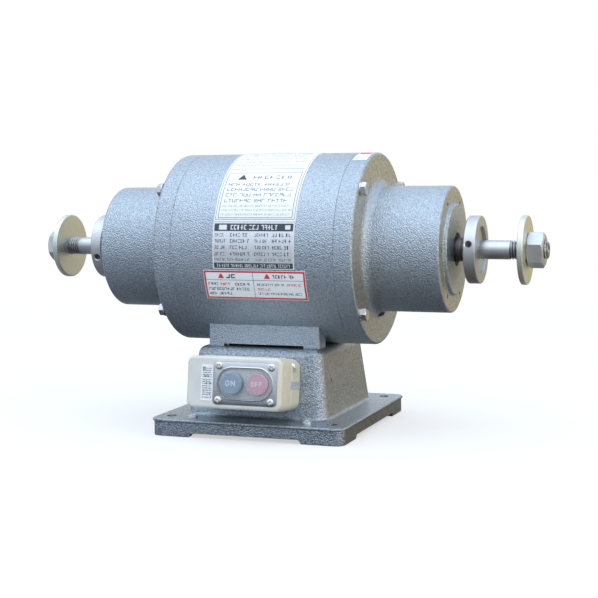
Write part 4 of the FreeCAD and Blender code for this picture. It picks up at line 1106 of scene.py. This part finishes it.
# soft studio surround: bright cool top, dimmer front, warm cards to the right
height = wmath("ADD", wmath("MULTIPLY", sp.outputs[2], 0.5), 0.5)
front = wramp(height, [(-1.0, (0.10, 0.10, 0.11)), (-0.87, (0.14, 0.14, 0.145)), (-0.37, (0.28, 0.285, 0.305)), (-0.06, (0.28, 0.30, 0.335)),
                       (0.10, (0.60, 0.68, 0.79)), (0.35, (0.82, 0.95, 1.12)), (0.6, (1.12, 1.30, 1.52)), (1.0, (1.02, 1.24, 1.52))])
rear = wramp(height, [(-1.0, (0.12, 0.12, 0.12)), (-0.37, (0.38, 0.34, 0.27)), (-0.06, (0.50, 0.42, 0.23)), (0.04, (0.70, 0.67, 0.58)),
                      (0.3, (0.74, 0.77, 0.80)), (0.65, (0.84, 0.97, 1.16)), (1.0, (1.02, 1.24, 1.52))])
side = wramp(height, [(-1.0, (0.13, 0.12, 0.10)), (-0.37, (0.46, 0.38, 0.24)), (-0.06, (0.58, 0.48, 0.31)), (0.04, (0.78, 0.69, 0.56)),
                      (0.35, (0.80, 0.74, 0.64)), (0.65, (0.90, 0.98, 1.06)), (1.0, (1.02, 1.24, 1.52))])
back_f = wmath("ADD", wmath("MULTIPLY", sp.outputs[1], 0.9), 0.5, True)
right_f = wmath("MULTIPLY", wmath("POWER", wmath("MAXIMUM", sp.outputs[0], 0.0), 2.5), 1.15, True)
bg = nt.nodes.new("ShaderNodeBackground")
bg.inputs[1].default_value = 1.0
nt.links.new(wmix(right_f, wmix(back_f, front, rear), side), bg.inputs[0])
bgc = nt.nodes.new("ShaderNodeBackground")
bgc.inputs[0].default_value = (1.0, 1.0, 1.0, 1)
lp = nt.nodes.new("ShaderNodeLightPath")
ms = nt.nodes.new("ShaderNodeMixShader")
nt.links.new(lp.outputs["Is Camera Ray"], ms.inputs[0])
nt.links.new(bg.outputs[0], ms.inputs[1])
nt.links.new(bgc.outputs[0], ms.inputs[2])
nt.links.new(ms.outputs[0], wo.inputs[0])


def floor_piece():
    seg = 128
    rows = [[(r * math.cos(2 * math.pi * j / seg) * 1000, r * math.sin(2 * math.pi * j / seg) * 1000, -0.05) for j in range(seg)] for r in (3.0, 1.0, 0.2)]
    v, f = rings_to_mesh(rows, closed_start=False)
    ob = new_object("floor", v, f, None)
    m = bpy.data.materials.new("floor_pale")
    m.use_nodes = True
    t = m.node_tree
    t.nodes.clear()
    out = t.nodes.new("ShaderNodeOutputMaterial")
    dc = t.nodes.new("ShaderNodeBsdfDiffuse")
    dc.inputs[0].default_value = (0.93, 0.93, 0.93, 1)
    dd = t.nodes.new("ShaderNodeBsdfDiffuse")
    l = t.nodes.new("ShaderNodeLightPath")
    mix = t.nodes.new("ShaderNodeMixShader")
    t.links.new(l.outputs["Is Camera Ray"], mix.inputs[0])
    # light bounced onto matt surfaces comes off a paler sheet than the one mirrored in the metal
    ds = t.nodes.new("ShaderNodeBsdfDiffuse")
    ds.inputs[0].default_value = (0.42, 0.41, 0.395, 1)
    mixd = t.nodes.new("ShaderNodeMixShader")
    t.links.new(l.outputs["Is Diffuse Ray"], mixd.inputs[0])
    t.links.new(dd.outputs[0], mixd.inputs[1])
    t.links.new(ds.outputs[0], mixd.inputs[2])
    t.links.new(mixd.outputs[0], mix.inputs[1])
    glow = t.nodes.new("ShaderNodeEmission")
    glow.inputs[0].default_value = (1.0, 1.0, 1.0, 1)
    glow.inputs[1].default_value = 1.0
    half = t.nodes.new("ShaderNodeMixShader")
    half.inputs[0].default_value = 0.55
    t.links.new(dc.outputs[0], half.inputs[1])
    t.links.new(glow.outputs[0], half.inputs[2])
    t.links.new(half.outputs[0], mix.inputs[2])
    # fades out to the backdrop far from the object
    tcn = t.nodes.new("ShaderNodeTexCoord")
    ln = t.nodes.new("ShaderNodeVectorMath")
    ln.operation = "LENGTH"
    t.links.new(tcn.outputs["Object"], ln.inputs[0])
    # painted shadow and painted warm light: for glossy rays the floor is darkened close to the object and tinted warm
    # towards +X
    shade = t.nodes.new("ShaderNodeValToRGB")
    e = shade.color_ramp.elements
    e.new(0.3)
    e.new(0.5)
    for el, (pos, c) in zip(e, ((0.0, (0.05, 0.044, 0.042)), (0.15, (0.080, 0.071, 0.068)), (0.26, (0.19, 0.185, 0.19)), (0.65, (0.33, 0.33, 0.335)))):
        el.position = pos
        el.color = (*c, 1)
    t.links.new(ln.outputs["Value"], shade.inputs[0])
    spx = t.nodes.new("ShaderNodeSeparateXYZ")
    t.links.new(tcn.outputs["Object"], spx.inputs[0])
    wr = t.nodes.new("ShaderNodeMapRange")
    wr.inputs[1].default_value, wr.inputs[2].default_value = 0.15, 0.55
    t.links.new(spx.outputs[0], wr.inputs[0])
    wm = t.nodes.new("ShaderNodeMix")
    wm.data_type = "RGBA"
    t.links.new(wr.outputs[0], wm.inputs[0])
    t.links.new(shade.outputs[0], wm.inputs[6])
    wm.inputs[7].default_value = (0.46, 0.38, 0.24, 1)
    t.links.new(wm.outputs[2], dd.inputs[0])
    mr = t.nodes.new("ShaderNodeMapRange")
    mr.inputs[1].default_value, mr.inputs[2].default_value = 0.55, 1.25
    mr.inputs[3].default_value, mr.inputs[4].default_value = 0.0, 1.0
    t.links.new(ln.outputs["Value"], mr.inputs[0])
    tr = t.nodes.new("ShaderNodeBsdfTransparent")
    mix2 = t.nodes.new("ShaderNodeMixShader")
    t.links.new(mr.outputs[0], mix2.inputs[0])
    t.links.new(mix.outputs[0], mix2.inputs[1])
    t.links.new(tr.outputs[0], mix2.inputs[2])
    t.links.new(mix2.outputs[0], out.inputs[0])
    ob.data.materials.append(m)
    return ob


floor_piece()


def area(name, loc, target, size, power, color):
    d = bpy.data.lights.new(name, "AREA")
    d.shape = "RECTANGLE"
    d.size, d.size_y = size
    d.energy = power
    d.color = color
    o = bpy.data.objects.new(name, d)
    o.location = loc
    o.rotation_mode = "QUATERNION"
    o.rotation_quaternion = (Vector(target) - Vector(loc)).to_track_quat("-Z", "Y")
    scene.collection.objects.link(o)
    return o


area("softbox_top", (-0.25, -0.35, 1.45), (0, 0, 0.12), (1.9, 1.5), 6.0, (0.88, 0.95, 1.0))
area("softbox_right", (1.35, -0.35, 0.55), (0.1, 0, 0.13), (0.7, 0.9), 4.5, (1.0, 0.92, 0.80))

# ------------------------------------------------------------------ camera
yaw, pitch, roll = 0.3454, 0.0878, -0.0077
fwd = Vector((-math.sin(yaw) * math.cos(pitch), math.cos(yaw) * math.cos(pitch), -math.sin(pitch)))
right = Vector((math.cos(yaw), math.sin(yaw), 0.0))
up = right.cross(fwd)
r2 = right * math.cos(roll) + up * math.sin(roll)
u2 = up * math.cos(roll) - right * math.sin(roll)
cam_d = bpy.data.cameras.new("camera")
cam_d.sensor_width = 36.0
cam_d.lens = 1329.19 / 598.0 * 36.0
cam_d.clip_start, cam_d.clip_end = 0.05, 50.0
cam = bpy.data.objects.new("camera", cam_d)
rot = Matrix((r2, u2, -fwd)).transposed().to_4x4()
cam.matrix_world = Matrix.Translation(Vector((0.4107906, -1.095352, 0.2127177))) @ rot
scene.collection.objects.link(cam)
scene.camera = cam

scene.view_settings.view_transform = "Standard"
scene.view_settings.look = "None"
scene.view_settings.exposure = 0.0
scene.view_settings.gamma = 1.0

bpy.context.view_layer.update()
